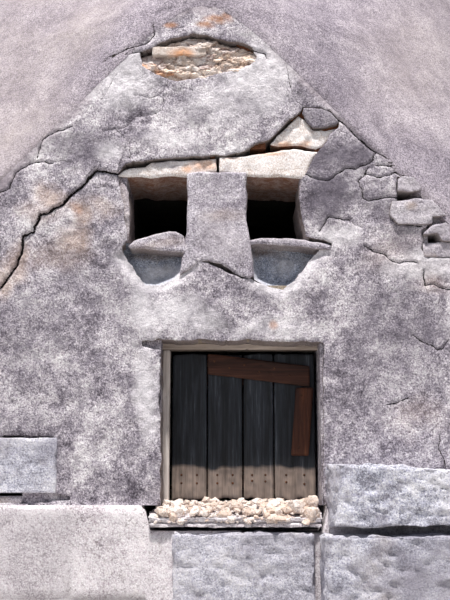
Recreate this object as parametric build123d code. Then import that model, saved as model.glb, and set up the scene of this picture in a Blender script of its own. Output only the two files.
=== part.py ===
from build123d import *
import math
import os

os.makedirs("parts", exist_ok=True)

# Millimetres. The cone's axis is Z, the ground is z 0, the front looks along -Y.

# The whole house
ROOM_RADIUS = 2000
SIDE_WALL = 1450
FRONT_WALL = 600
FRONT_LEDGE = 100
DRUM_RADIUS = ROOM_RADIUS + SIDE_WALL
DRUM_TOP = 1200
FLOOR_THICKNESS = 80
GABLE_FRONT_Y = -(ROOM_RADIUS + FRONT_WALL)
DRUM_FRONT_Y = GABLE_FRONT_Y - FRONT_LEDGE

# The cone of the roof: its side bulges out a little between foot and top
EAVES_LEDGE = 50
CONE_FOOT_RADIUS = DRUM_RADIUS - EAVES_LEDGE
CONE_TOP_RADIUS = 300
CONE_HEIGHT = 5600
CONE_TOP = DRUM_TOP + CONE_HEIGHT
CONE_BULGE = 0.3255
CONE_BANDS = 7

# The corbelled vault inside: rings of straight slabs, each laid over the joints of the last
SPRING_Z = 1500
VAULT_COVER = 1300
VAULT_TOP = CONE_TOP - VAULT_COVER
VAULT_TOP_RADIUS = 280
VAULT_BULGE = 0.4186
RING_COUNT = 12
SLABS_PER_RING = 24
RING_HEIGHT = (VAULT_TOP - SPRING_Z) / RING_COUNT

# The flat front gable
GABLE_THICKNESS = 400
GABLE_BACK_Y = GABLE_FRONT_Y + GABLE_THICKNESS
GABLE_TIP_WIDTH = 300
GABLE_SPREAD = 0.83
GABLE_CORNER_INSET = 17
GABLE_STEPS = 14

# The hatch
HATCH_LEFT = -190
HATCH_WIDTH = 720
HATCH_RIGHT = HATCH_LEFT + HATCH_WIDTH
HATCH_SILL_Z = DRUM_TOP
HATCH_HEIGHT = 740
HATCH_TOP = HATCH_SILL_Z + HATCH_HEIGHT
HEAD_BOARD_THICKNESS = 30
HEAD_BOARD_LEFT_BEARING = 80
HEAD_BOARD_RIGHT_BEARING = 30
JAMB_BOARD_THICKNESS = 36
FRAME_SETBACK = 130
FRAME_DEPTH = 90
FRAME_FRONT_Y = GABLE_FRONT_Y + FRAME_SETBACK
FRAME_BACK_Y = FRAME_FRONT_Y + FRAME_DEPTH
LINTEL_HEIGHT = 250
LINTEL_TOP = HATCH_TOP + LINTEL_HEIGHT
LINTEL_BEARING = 235
LINTEL_LEFT = HATCH_LEFT - LINTEL_BEARING
LINTEL_RIGHT = HATCH_RIGHT + LINTEL_BEARING

# The leaf of the hatch
LEAF_SIDE_GAP = 8
LEAF_FREE_GAP = 12
LEAF_HEAD_GAP = 10
LEAF_SILL_GAP = 10
LEAF_SETBACK = 45
PLANK_THICKNESS = 30
PLANK_FRONT_Y = FRAME_FRONT_Y + LEAF_SETBACK
PLANK_BACK_Y = PLANK_FRONT_Y + PLANK_THICKNESS
PLANK_GAP = 3
PLANK_WIDTHS = (164, 165, 144)
LEDGE_THICKNESS = 25
LEDGE_HEIGHT = 90
LEDGE_INSET = 60
LEDGE_END_INSET = 20
RAIL_THICKNESS = 20
RAIL_HEIGHT = 98
RAIL_TOP_GAP = 3
RAIL_FALL = 59
RAIL_LEFT_INSET = 164
RAIL_RIGHT_INSET = 23
STILE_WIDTH = 82
STILE_LENGTH = 315
STILE_LEAN = 26
STILE_INSET = 6
STRAP_THICKNESS = 5
STRAP_HEIGHT = 40
STRAP_LENGTH = 480
PIN_RADIUS = 6
PIN_CLEARANCE = 0.08
EYE_WALL = 5
EYE_RADIUS = PIN_RADIUS + EYE_WALL
EYE_INSET = 2
PINTLE_REACH = 25
PINTLE_FOOT = 8

# The two vents above the hatch, with one upright slab between them
PILLAR_LEFT = -77
PILLAR_WIDTH = 279.5
PILLAR_RIGHT = PILLAR_LEFT + PILLAR_WIDTH
PILLAR_ROOT = 50
PILLAR_FLARE = 20
PILLAR_PROUD = 20
VENT_HEIGHT = 310
LEFT_VENT_WIDTH = 279
RIGHT_VENT_WIDTH = 270
LEFT_VENT_EDGE = PILLAR_LEFT - LEFT_VENT_WIDTH
RIGHT_VENT_EDGE = PILLAR_RIGHT + RIGHT_VENT_WIDTH
APRON_HEIGHT = 180
APRON_BEARING = 64
VENT_SILL_THICKNESS = 40
LEFT_SILL_BEARING = 44
RIGHT_SILL_BEARING = 127
SILL_PROUD = 15
SILL_BOTTOM = LINTEL_TOP + APRON_HEIGHT
VENT_BOTTOM = SILL_BOTTOM + VENT_SILL_THICKNESS
VENT_TOP = VENT_BOTTOM + VENT_HEIGHT

# Stones over the vents
LINTEL_MEETING = 132
LINTEL_MEETING_X = PILLAR_LEFT + LINTEL_MEETING
LEFT_LINTEL_HEIGHT = 80
LEFT_LINTEL_BEARING = 44
RIGHT_LINTEL_HEIGHT = 120
RIGHT_LINTEL_BEARING = 47
GABLE_SHOULDER_Z = VENT_TOP + LEFT_LINTEL_HEIGHT
RIGHT_LINTEL_TOP = VENT_TOP + RIGHT_LINTEL_HEIGHT
UPPER_STONE_WIDTH = 260
UPPER_STONE_HEIGHT = 140
UPPER_STONE_OVERHANG = 30

# The gable's tip, and the level beds that part the cone into lifts
GABLE_PEAK = 560
GABLE_TIP_Z = RIGHT_LINTEL_TOP + UPPER_STONE_HEIGHT + GABLE_PEAK
LOW_LIFT_COVER = 200
LOW_LIFT_TOP = VENT_TOP + LOW_LIFT_COVER
MIDDLE_LIFT_HEIGHT = 1330
MIDDLE_LIFT_TOP = LOW_LIFT_TOP + MIDDLE_LIFT_HEIGHT

# Hollows where the plaster and the stones behind it have gone.
# The scoops are drawn from the underside of each vent sill, the crown from the gable's tip.
SCOOP_DEPTH = 130
LEFT_SCOOP = ((-290, 0), (-23, 0), (-23, -108), (-208, -164), (-235, -108))
RIGHT_SCOOP = ((37, 0), (332, 0), (221, -117), (203, -164), (143, -178), (47, -136))
CROWN_DEPTH = 110
CROWN_HOLLOW = (
    (-310, -205), (-200, -155), (0, -130), (150, -180), (240, -260),
    (100, -330), (-50, -360), (-200, -350), (-290, -280),
)

# Slabs that stick out of the gable's right edge: left end, length, foot above the vents' foot, height
EDGE_SLABS = {
    "edge_slab_upper": (845, 230, 120, 110),
    "edge_slab_lower": (1035, 205, -20, 80),
}
EDGE_SLAB_PROUD = 25

# The ledge under the hatch
SILL_BED_BEARING = 50
SILL_BED_HEIGHT = 100
SILL_BED_LIP = 50
SILL_BED_PROUD = 20
SILL_BED_CREST = 200
SILL_BED_BOTTOM = DRUM_TOP - SILL_BED_HEIGHT

# The large blocks of the lower front
FRONT_BLOCK_LEFT = -137
FRONT_BLOCK_BOTTOM = 560
FRONT_BLOCK_PROUD = 35
BUTTRESS_DEPTH = 300
BUTTRESS_LEFT = 496
BUTTRESS_LENGTH = 984
BUTTRESS_CAP_HEIGHT = 285
BUTTRESS_COURSES = {
    "buttress_base": (0, FRONT_BLOCK_BOTTOM, 26, 30),
    "buttress_lower": (FRONT_BLOCK_BOTTOM, SILL_BED_BOTTOM, 0, 15),
    "buttress_upper": (SILL_BED_BOTTOM, SILL_BED_BOTTOM + BUTTRESS_CAP_HEIGHT, -36, 0),
}
LEFT_COURSE_LEFT = -1700
LEFT_COURSE_LENGTH = 900
LEFT_COURSE_RISE = 40
LEFT_COURSE_HEIGHT = 265
LEFT_COURSE_PROUD = 25

# The pinnacle
PINNACLE_DISC_RADIUS = CONE_TOP_RADIUS + 40
PINNACLE_DISC_HEIGHT = 80
PINNACLE_NECK_RADIUS = 190
PINNACLE_NECK_TAPER = 70
PINNACLE_NECK_HEIGHT = 180
PINNACLE_BALL_RADIUS = 170
PINNACLE_BALL_BANDS = 7

FAR = 3 * DRUM_RADIUS


def bulged(foot, top, share, bulge):
    """The radius at a share of the height, on a side that bulges out."""
    return foot - (foot - top) * (share - bulge * share * (1 - share))


def cone_radius(z):
    return bulged(CONE_FOOT_RADIUS, CONE_TOP_RADIUS, (z - DRUM_TOP) / CONE_HEIGHT, CONE_BULGE)


def ring_radius(z):
    share = (z - SPRING_Z) / (VAULT_TOP - SPRING_Z)
    return bulged(ROOM_RADIUS, VAULT_TOP_RADIUS, share, VAULT_BULGE)


def gable_half_width(z):
    drop = GABLE_TIP_Z - z
    corner = math.sqrt(DRUM_RADIUS ** 2 - GABLE_FRONT_Y ** 2) - GABLE_CORNER_INSET
    return min(math.sqrt(GABLE_TIP_WIDTH * drop + GABLE_SPREAD * drop * drop), corner)


def block(x0, x1, y0, y1, z0, z1):
    size = Box(x1 - x0, y1 - y0, z1 - z0)
    return Pos((x0 + x1) / 2, (y0 + y1) / 2, (z0 + z1) / 2) * size


def face_prism(points, y0, y1, x=0, z=0):
    """A shape drawn on the front from the point x, z, given its depth from y0 to y1."""
    corners = [(x + a, y0, z + b) for a, b in points]
    outline = Wire([Line(a, b) for a, b in zip(corners, corners[1:] + corners[:1])])
    return Solid.extrude(Face(outline), Vector(0, y1 - y0, 0))


def side_prism(points, x0, x1):
    """A shape drawn on the side as (y, z), given its width from x0 to x1."""
    corners = [(x0, y, z) for y, z in points]
    outline = Wire([Line(a, b) for a, b in zip(corners, corners[1:] + corners[:1])])
    return Solid.extrude(Face(outline), Vector(x1 - x0, 0, 0))


def turned(points):
    """A shape drawn as (radius, height) and turned about the axis."""
    corners = [(r, 0, z) for r, z in points]
    outline = Wire([Line(a, b) for a, b in zip(corners, corners[1:] + corners[:1])])
    return Solid.revolve(Face(outline), 360, Axis.Z)


def sector(towards):
    """A quarter of the plan, centred on one of the four directions."""
    corners = {
        "front": ((0, 0), (-FAR, -FAR), (FAR, -FAR)),
        "right": ((0, 0), (FAR, -FAR), (FAR, FAR)),
        "back": ((0, 0), (FAR, FAR), (-FAR, FAR)),
        "left": ((0, 0), (-FAR, FAR), (-FAR, -FAR)),
    }[towards]
    points = [(x, y, 0) for x, y in corners]
    outline = Wire([Line(a, b) for a, b in zip(points, points[1:] + points[:1])])
    return Solid.extrude(Face(outline), Vector(0, 0, 2 * FAR))


def cut(shape, tools):
    for tool in tools:
        shape = shape - tool
    return shape


def save(name, shape):
    solids = shape.solids()
    whole = solids[0] if len(solids) == 1 else Compound(children=list(solids))
    export_step(whole, "parts/" + name + ".step")
    print(name, len(solids), round(sum(s.volume for s in solids) / 1e9, 4))


def gable_outline():
    heights = [
        DRUM_TOP + (GABLE_TIP_Z - DRUM_TOP) * (1 - (1 - i / GABLE_STEPS) ** 2)
        for i in range(GABLE_STEPS)
    ]
    right = [(gable_half_width(z), z) for z in heights]
    left = [(-w, z) for w, z in reversed(right)]
    return right + [(0, GABLE_TIP_Z)] + left


def cone_solid():
    step = (CONE_TOP - DRUM_TOP) / CONE_BANDS
    heights = [DRUM_TOP + step * i for i in range(CONE_BANDS + 1)]
    side = [(cone_radius(z), z) for z in heights]
    return turned([(0, DRUM_TOP)] + side + [(0, CONE_TOP)])


def slab_ring(i):
    """The open middle of ring i. Its corners lie over the middles of the slabs below."""
    radius = ring_radius(SPRING_Z + (i + 1) * RING_HEIGHT)
    corner_radius = radius / math.cos(math.pi / SLABS_PER_RING)
    offset = (i % 2) * 180 / SLABS_PER_RING
    outline = RegularPolygon(corner_radius, SLABS_PER_RING, rotation=offset)
    return Pos(0, 0, SPRING_Z + i * RING_HEIGHT) * extrude(outline, RING_HEIGHT)


def vault_void():
    room = turned([(0, DRUM_TOP), (ROOM_RADIUS, DRUM_TOP), (ROOM_RADIUS, SPRING_Z), (0, SPRING_Z)])
    return [room] + [slab_ring(i) for i in range(RING_COUNT)]


def hatch_tunnel():
    return block(HATCH_LEFT, HATCH_RIGHT, -FAR, 0, HATCH_SILL_Z, HATCH_TOP)


def vent_tunnels():
    return [
        block(x0, x1, -FAR, 0, VENT_BOTTOM, VENT_TOP)
        for x0, x1 in ((LEFT_VENT_EDGE, PILLAR_LEFT), (PILLAR_RIGHT, RIGHT_VENT_EDGE))
    ]


def floor_slab():
    return turned([(0, 0), (ROOM_RADIUS, 0), (ROOM_RADIUS, FLOOR_THICKNESS), (0, FLOOR_THICKNESS)])


def buttress():
    blocks = {}
    for name, (z0, z1, longer, proud) in BUTTRESS_COURSES.items():
        front = GABLE_FRONT_Y - BUTTRESS_DEPTH - proud
        x0 = BUTTRESS_LEFT - longer
        x1 = BUTTRESS_LEFT + BUTTRESS_LENGTH + longer
        blocks[name] = block(x0, x1, front, GABLE_FRONT_Y, z0, z1)
    return blocks


def sill_bed():
    """The ledge under the hatch, with the bed of broken stone that slopes up to the leaf."""
    front = DRUM_FRONT_Y - SILL_BED_PROUD
    profile = [
        (front, SILL_BED_BOTTOM),
        (GABLE_BACK_Y, SILL_BED_BOTTOM),
        (GABLE_BACK_Y, DRUM_TOP),
        (DRUM_FRONT_Y + SILL_BED_CREST, DRUM_TOP),
        (front, SILL_BED_BOTTOM + SILL_BED_LIP),
    ]
    return side_prism(profile, HATCH_LEFT - SILL_BED_BEARING, HATCH_RIGHT)


def front_block():
    return block(
        FRONT_BLOCK_LEFT, BUTTRESS_LEFT, DRUM_FRONT_Y - FRONT_BLOCK_PROUD,
        GABLE_BACK_Y, FRONT_BLOCK_BOTTOM, SILL_BED_BOTTOM,
    )


def drum_pieces(seated):
    wall = turned([
        (ROOM_RADIUS, 0), (DRUM_RADIUS, 0), (DRUM_RADIUS, DRUM_TOP), (ROOM_RADIUS, DRUM_TOP),
    ])
    wall = wall - block(-FAR, FAR, -FAR, DRUM_FRONT_Y, -1, DRUM_TOP + 1)
    middle = (FRONT_BLOCK_LEFT + BUTTRESS_LEFT) / 2
    front = cut(wall & sector("front"), seated)
    pieces = {
        "drum_left": wall & sector("left"),
        "drum_right": wall & sector("right"),
        "drum_back": wall & sector("back"),
        "drum_front_left": front & block(-FAR, middle, -FAR, 0, 0, DRUM_TOP),
        "drum_front_right": front & block(middle, FAR, -FAR, 0, 0, DRUM_TOP),
    }
    return pieces


def vent_pillar():
    front = GABLE_FRONT_Y - PILLAR_PROUD
    root = LINTEL_TOP + PILLAR_ROOT
    outline = [
        (PILLAR_LEFT, VENT_TOP), (PILLAR_LEFT, VENT_BOTTOM), (PILLAR_LEFT - PILLAR_FLARE, root),
        (PILLAR_RIGHT + PILLAR_FLARE, root), (PILLAR_RIGHT, VENT_BOTTOM), (PILLAR_RIGHT, VENT_TOP),
    ]
    return face_prism(outline, front, GABLE_BACK_Y)


def scoops():
    drawn = ((LEFT_SCOOP, PILLAR_LEFT), (RIGHT_SCOOP, PILLAR_RIGHT))
    return [
        face_prism(outline, GABLE_FRONT_Y - 1, GABLE_FRONT_Y + SCOOP_DEPTH, x, SILL_BOTTOM)
        for outline, x in drawn
    ]


def vent_surround():
    """The stones round the two vents, each fitted to the pillar between them."""
    front = GABLE_FRONT_Y - SILL_PROUD
    back = GABLE_BACK_Y
    left = LEFT_VENT_EDGE
    right = RIGHT_VENT_EDGE
    meeting = LINTEL_MEETING_X
    pillar = vent_pillar()
    sill_left = block(left - LEFT_SILL_BEARING, meeting, front, back, SILL_BOTTOM, VENT_BOTTOM)
    sill_right = block(meeting, right + RIGHT_SILL_BEARING, front, back, SILL_BOTTOM, VENT_BOTTOM)
    apron = block(
        left - APRON_BEARING, right + RIGHT_SILL_BEARING + 20, GABLE_FRONT_Y, back,
        LINTEL_TOP, SILL_BOTTOM,
    )
    stone_right = right + RIGHT_LINTEL_BEARING + UPPER_STONE_OVERHANG
    return {
        "vent_pillar": pillar,
        "vent_sill_left": sill_left - pillar,
        "vent_sill_right": sill_right - pillar,
        "vent_apron": cut(apron, [pillar] + scoops()),
        "vent_lintel_left": block(
            left - LEFT_LINTEL_BEARING, meeting, GABLE_FRONT_Y, back, VENT_TOP, GABLE_SHOULDER_Z,
        ),
        "vent_lintel_right": block(
            meeting, right + RIGHT_LINTEL_BEARING, front, back, VENT_TOP, RIGHT_LINTEL_TOP,
        ),
        "upper_stone": block(
            stone_right - UPPER_STONE_WIDTH, stone_right, front, back,
            RIGHT_LINTEL_TOP, RIGHT_LINTEL_TOP + UPPER_STONE_HEIGHT,
        ),
    }


def hatch_surround():
    lintel = block(LINTEL_LEFT, LINTEL_RIGHT, GABLE_FRONT_Y, GABLE_BACK_Y, HATCH_TOP, LINTEL_TOP)
    head = block(
        HATCH_LEFT - HEAD_BOARD_LEFT_BEARING, HATCH_RIGHT + HEAD_BOARD_RIGHT_BEARING,
        FRAME_FRONT_Y, FRAME_BACK_Y, HATCH_TOP - HEAD_BOARD_THICKNESS, HATCH_TOP,
    )
    jamb = block(
        HATCH_LEFT, HATCH_LEFT + JAMB_BOARD_THICKNESS, FRAME_FRONT_Y, FRAME_BACK_Y,
        HATCH_SILL_Z, HATCH_TOP - HEAD_BOARD_THICKNESS,
    )
    return {"hatch_lintel": lintel, "hatch_head_board": head, "hatch_jamb_board": jamb}


def edge_slabs():
    front = GABLE_FRONT_Y - EDGE_SLAB_PROUD
    slabs = {}
    for name, (x, length, rise, height) in EDGE_SLABS.items():
        z = VENT_BOTTOM + rise
        slabs[name] = block(x, x + length, front, GABLE_BACK_Y, z, z + height)
    return slabs


def crown_hollow():
    back = GABLE_FRONT_Y + CROWN_DEPTH
    return face_prism(CROWN_HOLLOW, GABLE_FRONT_Y - 1, back, 0, GABLE_TIP_Z)


def left_course():
    z = DRUM_TOP + LEFT_COURSE_RISE
    return block(
        LEFT_COURSE_LEFT, LEFT_COURSE_LEFT + LEFT_COURSE_LENGTH,
        GABLE_FRONT_Y - LEFT_COURSE_PROUD, GABLE_BACK_Y, z, z + LEFT_COURSE_HEIGHT,
    )


def gable_pieces(seated, hollows):
    slab = face_prism(gable_outline(), GABLE_FRONT_Y, GABLE_BACK_Y)
    slab = cut(slab, seated + hollows + vent_tunnels() + [hatch_tunnel()])
    below = slab & block(-FAR, FAR, -FAR, 0, DRUM_TOP, GABLE_SHOULDER_Z)
    above = slab & block(-FAR, FAR, -FAR, 0, GABLE_SHOULDER_Z, GABLE_TIP_Z)
    return {
        "gable_left": below & block(-FAR, 0, -FAR, 0, 0, FAR),
        "gable_right": below & block(LINTEL_MEETING_X, FAR, -FAR, 0, 0, FAR),
        "gable_top": above,
    }


def vault_pieces(seated):
    front_cut = face_prism(gable_outline(), -FAR, GABLE_BACK_Y)
    shell = cut(cone_solid(), vault_void() + [front_cut] + seated + vent_tunnels() + [hatch_tunnel()])
    low = shell & block(-FAR, FAR, -FAR, FAR, DRUM_TOP, LOW_LIFT_TOP)
    middle = shell & block(-FAR, FAR, -FAR, FAR, LOW_LIFT_TOP, MIDDLE_LIFT_TOP)
    lintel_zone = block(LINTEL_LEFT, LINTEL_RIGHT, -FAR, 0, HATCH_TOP, LINTEL_TOP)
    front = low & sector("front")
    beside = front - lintel_zone
    pieces = {
        "vault_front_left": beside & block(-FAR, LINTEL_MEETING_X, -FAR, 0, 0, FAR),
        "vault_front_right": beside & block(LINTEL_MEETING_X, FAR, -FAR, 0, 0, FAR),
        "vault_front_lintel": front & lintel_zone,
        "vault_top": shell & block(-FAR, FAR, -FAR, FAR, MIDDLE_LIFT_TOP, CONE_TOP),
    }
    for side in ("left", "right", "back"):
        pieces["vault_low_" + side] = low & sector(side)
    for side in ("front", "left", "right", "back"):
        pieces["vault_middle_" + side] = middle & sector(side)
    return pieces


def pinnacle():
    edge = PINNACLE_DISC_RADIUS
    disc_top = CONE_TOP + PINNACLE_DISC_HEIGHT
    neck_top = disc_top + PINNACLE_NECK_HEIGHT
    neck = PINNACLE_NECK_RADIUS - PINNACLE_NECK_TAPER
    bevel = (edge - CONE_TOP_RADIUS) / 2
    base = turned([
        (0, CONE_TOP), (edge - bevel, CONE_TOP), (edge, CONE_TOP + bevel), (edge, disc_top),
        (PINNACLE_NECK_RADIUS, disc_top), (neck, neck_top), (0, neck_top),
    ])
    seat = math.asin(neck / PINNACLE_BALL_RADIUS)
    centre = neck_top + PINNACLE_BALL_RADIUS * math.cos(seat)
    turns = [seat + (math.pi - seat) * i / PINNACLE_BALL_BANDS for i in range(PINNACLE_BALL_BANDS)]
    side = [
        (PINNACLE_BALL_RADIUS * math.sin(a), centre - PINNACLE_BALL_RADIUS * math.cos(a))
        for a in turns
    ]
    ball = turned([(0, neck_top)] + side + [(0, centre + PINNACLE_BALL_RADIUS)])
    return {"pinnacle_base": base, "pinnacle_ball": ball}


def leaf_limits():
    left = HATCH_LEFT + JAMB_BOARD_THICKNESS + LEAF_SIDE_GAP
    right = HATCH_RIGHT - LEAF_FREE_GAP
    bottom = HATCH_SILL_Z + LEAF_SILL_GAP
    top = HATCH_TOP - HEAD_BOARD_THICKNESS - LEAF_HEAD_GAP
    return left, right, bottom, top


def leaf_planks():
    left, right, bottom, top = leaf_limits()
    planks = []
    x = left
    for width in PLANK_WIDTHS:
        planks.append(block(x, x + width - PLANK_GAP, PLANK_FRONT_Y, PLANK_BACK_Y, bottom, top))
        x = x + width
    planks.append(block(x, right, PLANK_FRONT_Y, PLANK_BACK_Y, bottom, top))
    return Compound(children=planks)


def ledge_heights():
    left, right, bottom, top = leaf_limits()
    return (bottom + LEDGE_INSET, top - LEDGE_INSET - LEDGE_HEIGHT)


def leaf_ledges():
    left, right, bottom, top = leaf_limits()
    x0 = left + LEDGE_END_INSET
    x1 = right - LEDGE_END_INSET
    y1 = PLANK_BACK_Y + LEDGE_THICKNESS
    ledges = [block(x0, x1, PLANK_BACK_Y, y1, z, z + LEDGE_HEIGHT) for z in ledge_heights()]
    return Compound(children=ledges)


def leaf_rail():
    left, right, bottom, top = leaf_limits()
    x0 = left + RAIL_LEFT_INSET
    x1 = right - RAIL_RIGHT_INSET
    z = top - RAIL_TOP_GAP
    outline = [(x0, z), (x1, z - RAIL_FALL), (x1, z - RAIL_FALL - RAIL_HEIGHT), (x0, z - RAIL_HEIGHT)]
    return face_prism(outline, PLANK_FRONT_Y - RAIL_THICKNESS, PLANK_FRONT_Y)


def leaf_stile():
    left, right, bottom, top = leaf_limits()
    x = right - STILE_INSET
    z = top - RAIL_TOP_GAP - RAIL_FALL - RAIL_HEIGHT - PLANK_GAP
    outline = [
        (x - STILE_WIDTH, z), (x, z), (x - STILE_LEAN, z - STILE_LENGTH),
        (x - STILE_LEAN - STILE_WIDTH, z - STILE_LENGTH),
    ]
    return face_prism(outline, PLANK_FRONT_Y - RAIL_THICKNESS, PLANK_FRONT_Y)


def pin_centre():
    left, right, bottom, top = leaf_limits()
    return left + EYE_RADIUS + EYE_INSET, PLANK_BACK_Y + LEDGE_THICKNESS + EYE_RADIUS


def upright(radius, x, y, z0, z1):
    return Pos(x, y, (z0 + z1) / 2) * Cylinder(radius, z1 - z0)


def leaf_straps():
    x, y = pin_centre()
    face = PLANK_BACK_Y + LEDGE_THICKNESS
    straps = []
    for z in ledge_heights():
        z0 = z + (LEDGE_HEIGHT - STRAP_HEIGHT) / 2
        z1 = z0 + STRAP_HEIGHT
        strap = block(x, x + STRAP_LENGTH, face, face + STRAP_THICKNESS, z0, z1)
        strap = strap + upright(EYE_RADIUS, x, y, z0, z1)
        strap = strap - upright(PIN_RADIUS + PIN_CLEARANCE, x, y, z0 - 1, z1 + 1)
        straps.append(strap.solids()[0])
    return Compound(children=straps)


def hinge_pintles():
    x, y = pin_centre()
    pintles = []
    for z in ledge_heights():
        z0 = z + (LEDGE_HEIGHT - STRAP_HEIGHT) / 2
        base = z0 - PINTLE_REACH
        arm = block(HATCH_LEFT, x, y - PIN_RADIUS, y + PIN_RADIUS, base, z0 - PINTLE_FOOT)
        pin = upright(PIN_RADIUS, x, y, base, z0 + STRAP_HEIGHT + PINTLE_FOOT)
        pintles.append((arm + pin).solids()[0])
    return Compound(children=pintles)


def build():
    vents = vent_surround()
    frame = hatch_surround()
    slabs = edge_slabs()
    blocks = buttress()
    bed = sill_bed()
    lower = front_block()
    course = left_course()
    pieces = {}
    pieces.update(vents)
    pieces.update(frame)
    pieces.update(slabs)
    pieces.update(blocks)
    pieces["sill_bed"] = bed
    pieces["front_block"] = lower
    pieces["left_course"] = course
    pieces["floor_slab"] = floor_slab()
    in_gable = list(vents.values()) + list(frame.values()) + list(slabs.values()) + [course]
    pieces.update(gable_pieces(in_gable, scoops() + [crown_hollow()]))
    pieces.update(drum_pieces([bed, lower] + list(blocks.values())))
    pieces.update(vault_pieces(list(slabs.values())))
    pieces.update(pinnacle())
    pieces["leaf_planks"] = leaf_planks()
    pieces["leaf_ledges"] = leaf_ledges()
    pieces["leaf_rail"] = leaf_rail()
    pieces["leaf_stile"] = leaf_stile()
    pieces["leaf_straps"] = leaf_straps()
    pieces["hinge_pintles"] = hinge_pintles()
    for name, shape in pieces.items():
        save(name, shape)


build()
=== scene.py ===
import math

import bpy
import numpy as np
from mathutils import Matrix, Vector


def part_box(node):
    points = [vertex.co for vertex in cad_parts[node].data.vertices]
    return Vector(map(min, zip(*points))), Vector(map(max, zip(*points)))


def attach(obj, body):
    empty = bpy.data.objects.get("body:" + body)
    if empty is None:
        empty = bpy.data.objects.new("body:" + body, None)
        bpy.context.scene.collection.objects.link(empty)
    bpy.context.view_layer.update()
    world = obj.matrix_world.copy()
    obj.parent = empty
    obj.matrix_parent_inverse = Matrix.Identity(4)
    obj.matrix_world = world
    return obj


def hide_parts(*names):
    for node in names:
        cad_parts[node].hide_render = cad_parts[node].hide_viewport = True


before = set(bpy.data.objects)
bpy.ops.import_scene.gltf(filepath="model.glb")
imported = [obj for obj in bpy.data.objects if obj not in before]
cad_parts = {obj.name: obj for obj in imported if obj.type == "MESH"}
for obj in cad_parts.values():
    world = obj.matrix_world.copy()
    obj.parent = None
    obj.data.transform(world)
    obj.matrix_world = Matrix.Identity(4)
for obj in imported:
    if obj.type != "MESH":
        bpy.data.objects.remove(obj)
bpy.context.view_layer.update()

# Camera: it stands five metres in front of the gable, at a child's height, and looks up a little.
# The focal length is in pixels of a frame 450 wide and 600 high.
EYE = (0.10, -7.60, 1.25)
TILT = math.radians(9.9)
FOCAL = 1110
FRAME_WIDTH = 450
FRAME_HEIGHT = 600
SENSOR = 36
camera = bpy.data.objects.new("camera", bpy.data.cameras.new("camera"))
bpy.context.scene.collection.objects.link(camera)
camera.location = EYE
camera.rotation_euler = (math.pi / 2 + TILT, 0, 0)
camera.data.sensor_width = SENSOR
camera.data.lens = FOCAL * SENSOR / FRAME_HEIGHT
bpy.context.scene.camera = camera
bpy.context.scene.view_settings.view_transform = "Standard"


# Studio: a high soft key just left of the middle, so that it rakes down the wall, a cool pale
# surround that fills the shade, and a plain pale floor.
def colour(code):
    """An sRGB hex colour as linear light."""
    parts = [int(code[i:i + 2], 16) / 255 for i in (1, 3, 5)]
    return tuple(c / 12.92 if c <= 0.04045 else ((c + 0.055) / 1.055) ** 2.4 for c in parts) + (1.0,)


def put(tree, kind, given=None, **settings):
    """Adds a node. given maps an input to a value, to a node, or to (node, output)."""
    node = tree.nodes.new(kind)
    for key, value in settings.items():
        setattr(node, key, value)
    for where, what in (given or {}).items():
        if hasattr(what, "outputs"):
            tree.links.new(what.outputs[0], node.inputs[where])
        elif isinstance(what, tuple) and hasattr(what[0], "outputs"):
            tree.links.new(what[0].outputs[what[1]], node.inputs[where])
        else:
            node.inputs[where].default_value = what
    return node


def lamp(name, place, target, size, watts, tint):
    """A square lamp of a size in metres, turned from its place to its target."""
    light = bpy.data.lights.new(name, "AREA")
    light.size = size
    light.energy = watts
    light.color = colour(tint)[:3]
    holder = bpy.data.objects.new(name, light)
    bpy.context.scene.collection.objects.link(holder)
    holder.location = place
    way = [b - a for a, b in zip(place, target)]
    flat = math.hypot(way[0], way[1])
    holder.rotation_euler = (math.pi / 2 + math.atan2(way[2], flat), 0, math.atan2(-way[0], way[1]))


FRONT_WALL = (0.2, -2.6, 2.2)
HOUSE_MIDDLE = (0.0, 0.0, 2.5)
lamp("key_light", (-0.9, -9.0, 19.8), FRONT_WALL, 1.1, 6900, "#fffbf6")
lamp("front_light", (-6.0, -15.0, 6.0), FRONT_WALL, 5.0, 260, "#f4f4fb")
lamp("back_light", (6.0, 13.0, 12.0), HOUSE_MIDDLE, 5.0, 2600, "#fff6ea")
world = bpy.data.worlds.new("studio")
bpy.context.scene.world = world
world.use_nodes = True
surround = world.node_tree.nodes["Background"]
surround.inputs["Color"].default_value = colour("#ccd8ee")
surround.inputs["Strength"].default_value = 0.36

FLOOR_REACH = 40
floor_corners = [(x * FLOOR_REACH, y * FLOOR_REACH, 0) for x, y in ((-1, -1), (1, -1), (1, 1), (-1, 1))]
floor_mesh = bpy.data.meshes.new("studio_floor")
floor_mesh.from_pydata(floor_corners, [], [(0, 1, 2, 3)])
floor = bpy.data.objects.new("studio_floor", floor_mesh)
bpy.context.scene.collection.objects.link(floor)
floor_paint = bpy.data.materials.new("studio_floor_paint")
floor_paint.use_nodes = True
floor_shader = floor_paint.node_tree.nodes["Principled BSDF"]
floor_shader.inputs["Base Color"].default_value = colour("#bcb9b4")
floor_shader.inputs["Roughness"].default_value = 0.9
floor_mesh.materials.append(floor_paint)


# Drum: the round lower wall of big limestone blocks laid dry in three courses, with a flat front.
# Rain and lichen have turned the stone pale grey with cream and bluish patches.
def lumps(x, y, z, size, seed):
    """Smooth random values from -1 to 1 at points in space, with lumps about size metres across."""
    table = np.random.default_rng(seed).uniform(-1, 1, (64, 64, 64))
    at = [np.asarray(c, float) / size + 1000 for c in (x, y, z)]
    low = [np.floor(c).astype(int) for c in at]
    part = [c - b for c, b in zip(at, low)]
    part = [f * f * (3 - 2 * f) for f in part]
    total = 0
    for corner in range(8):
        bits = [(corner >> k) & 1 for k in range(3)]
        weight = 1
        for f, bit in zip(part, bits):
            weight = weight * (f if bit else 1 - f)
        total = total + weight * table[tuple((b + bit) % 64 for b, bit in zip(low, bits))]
    return total


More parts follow.
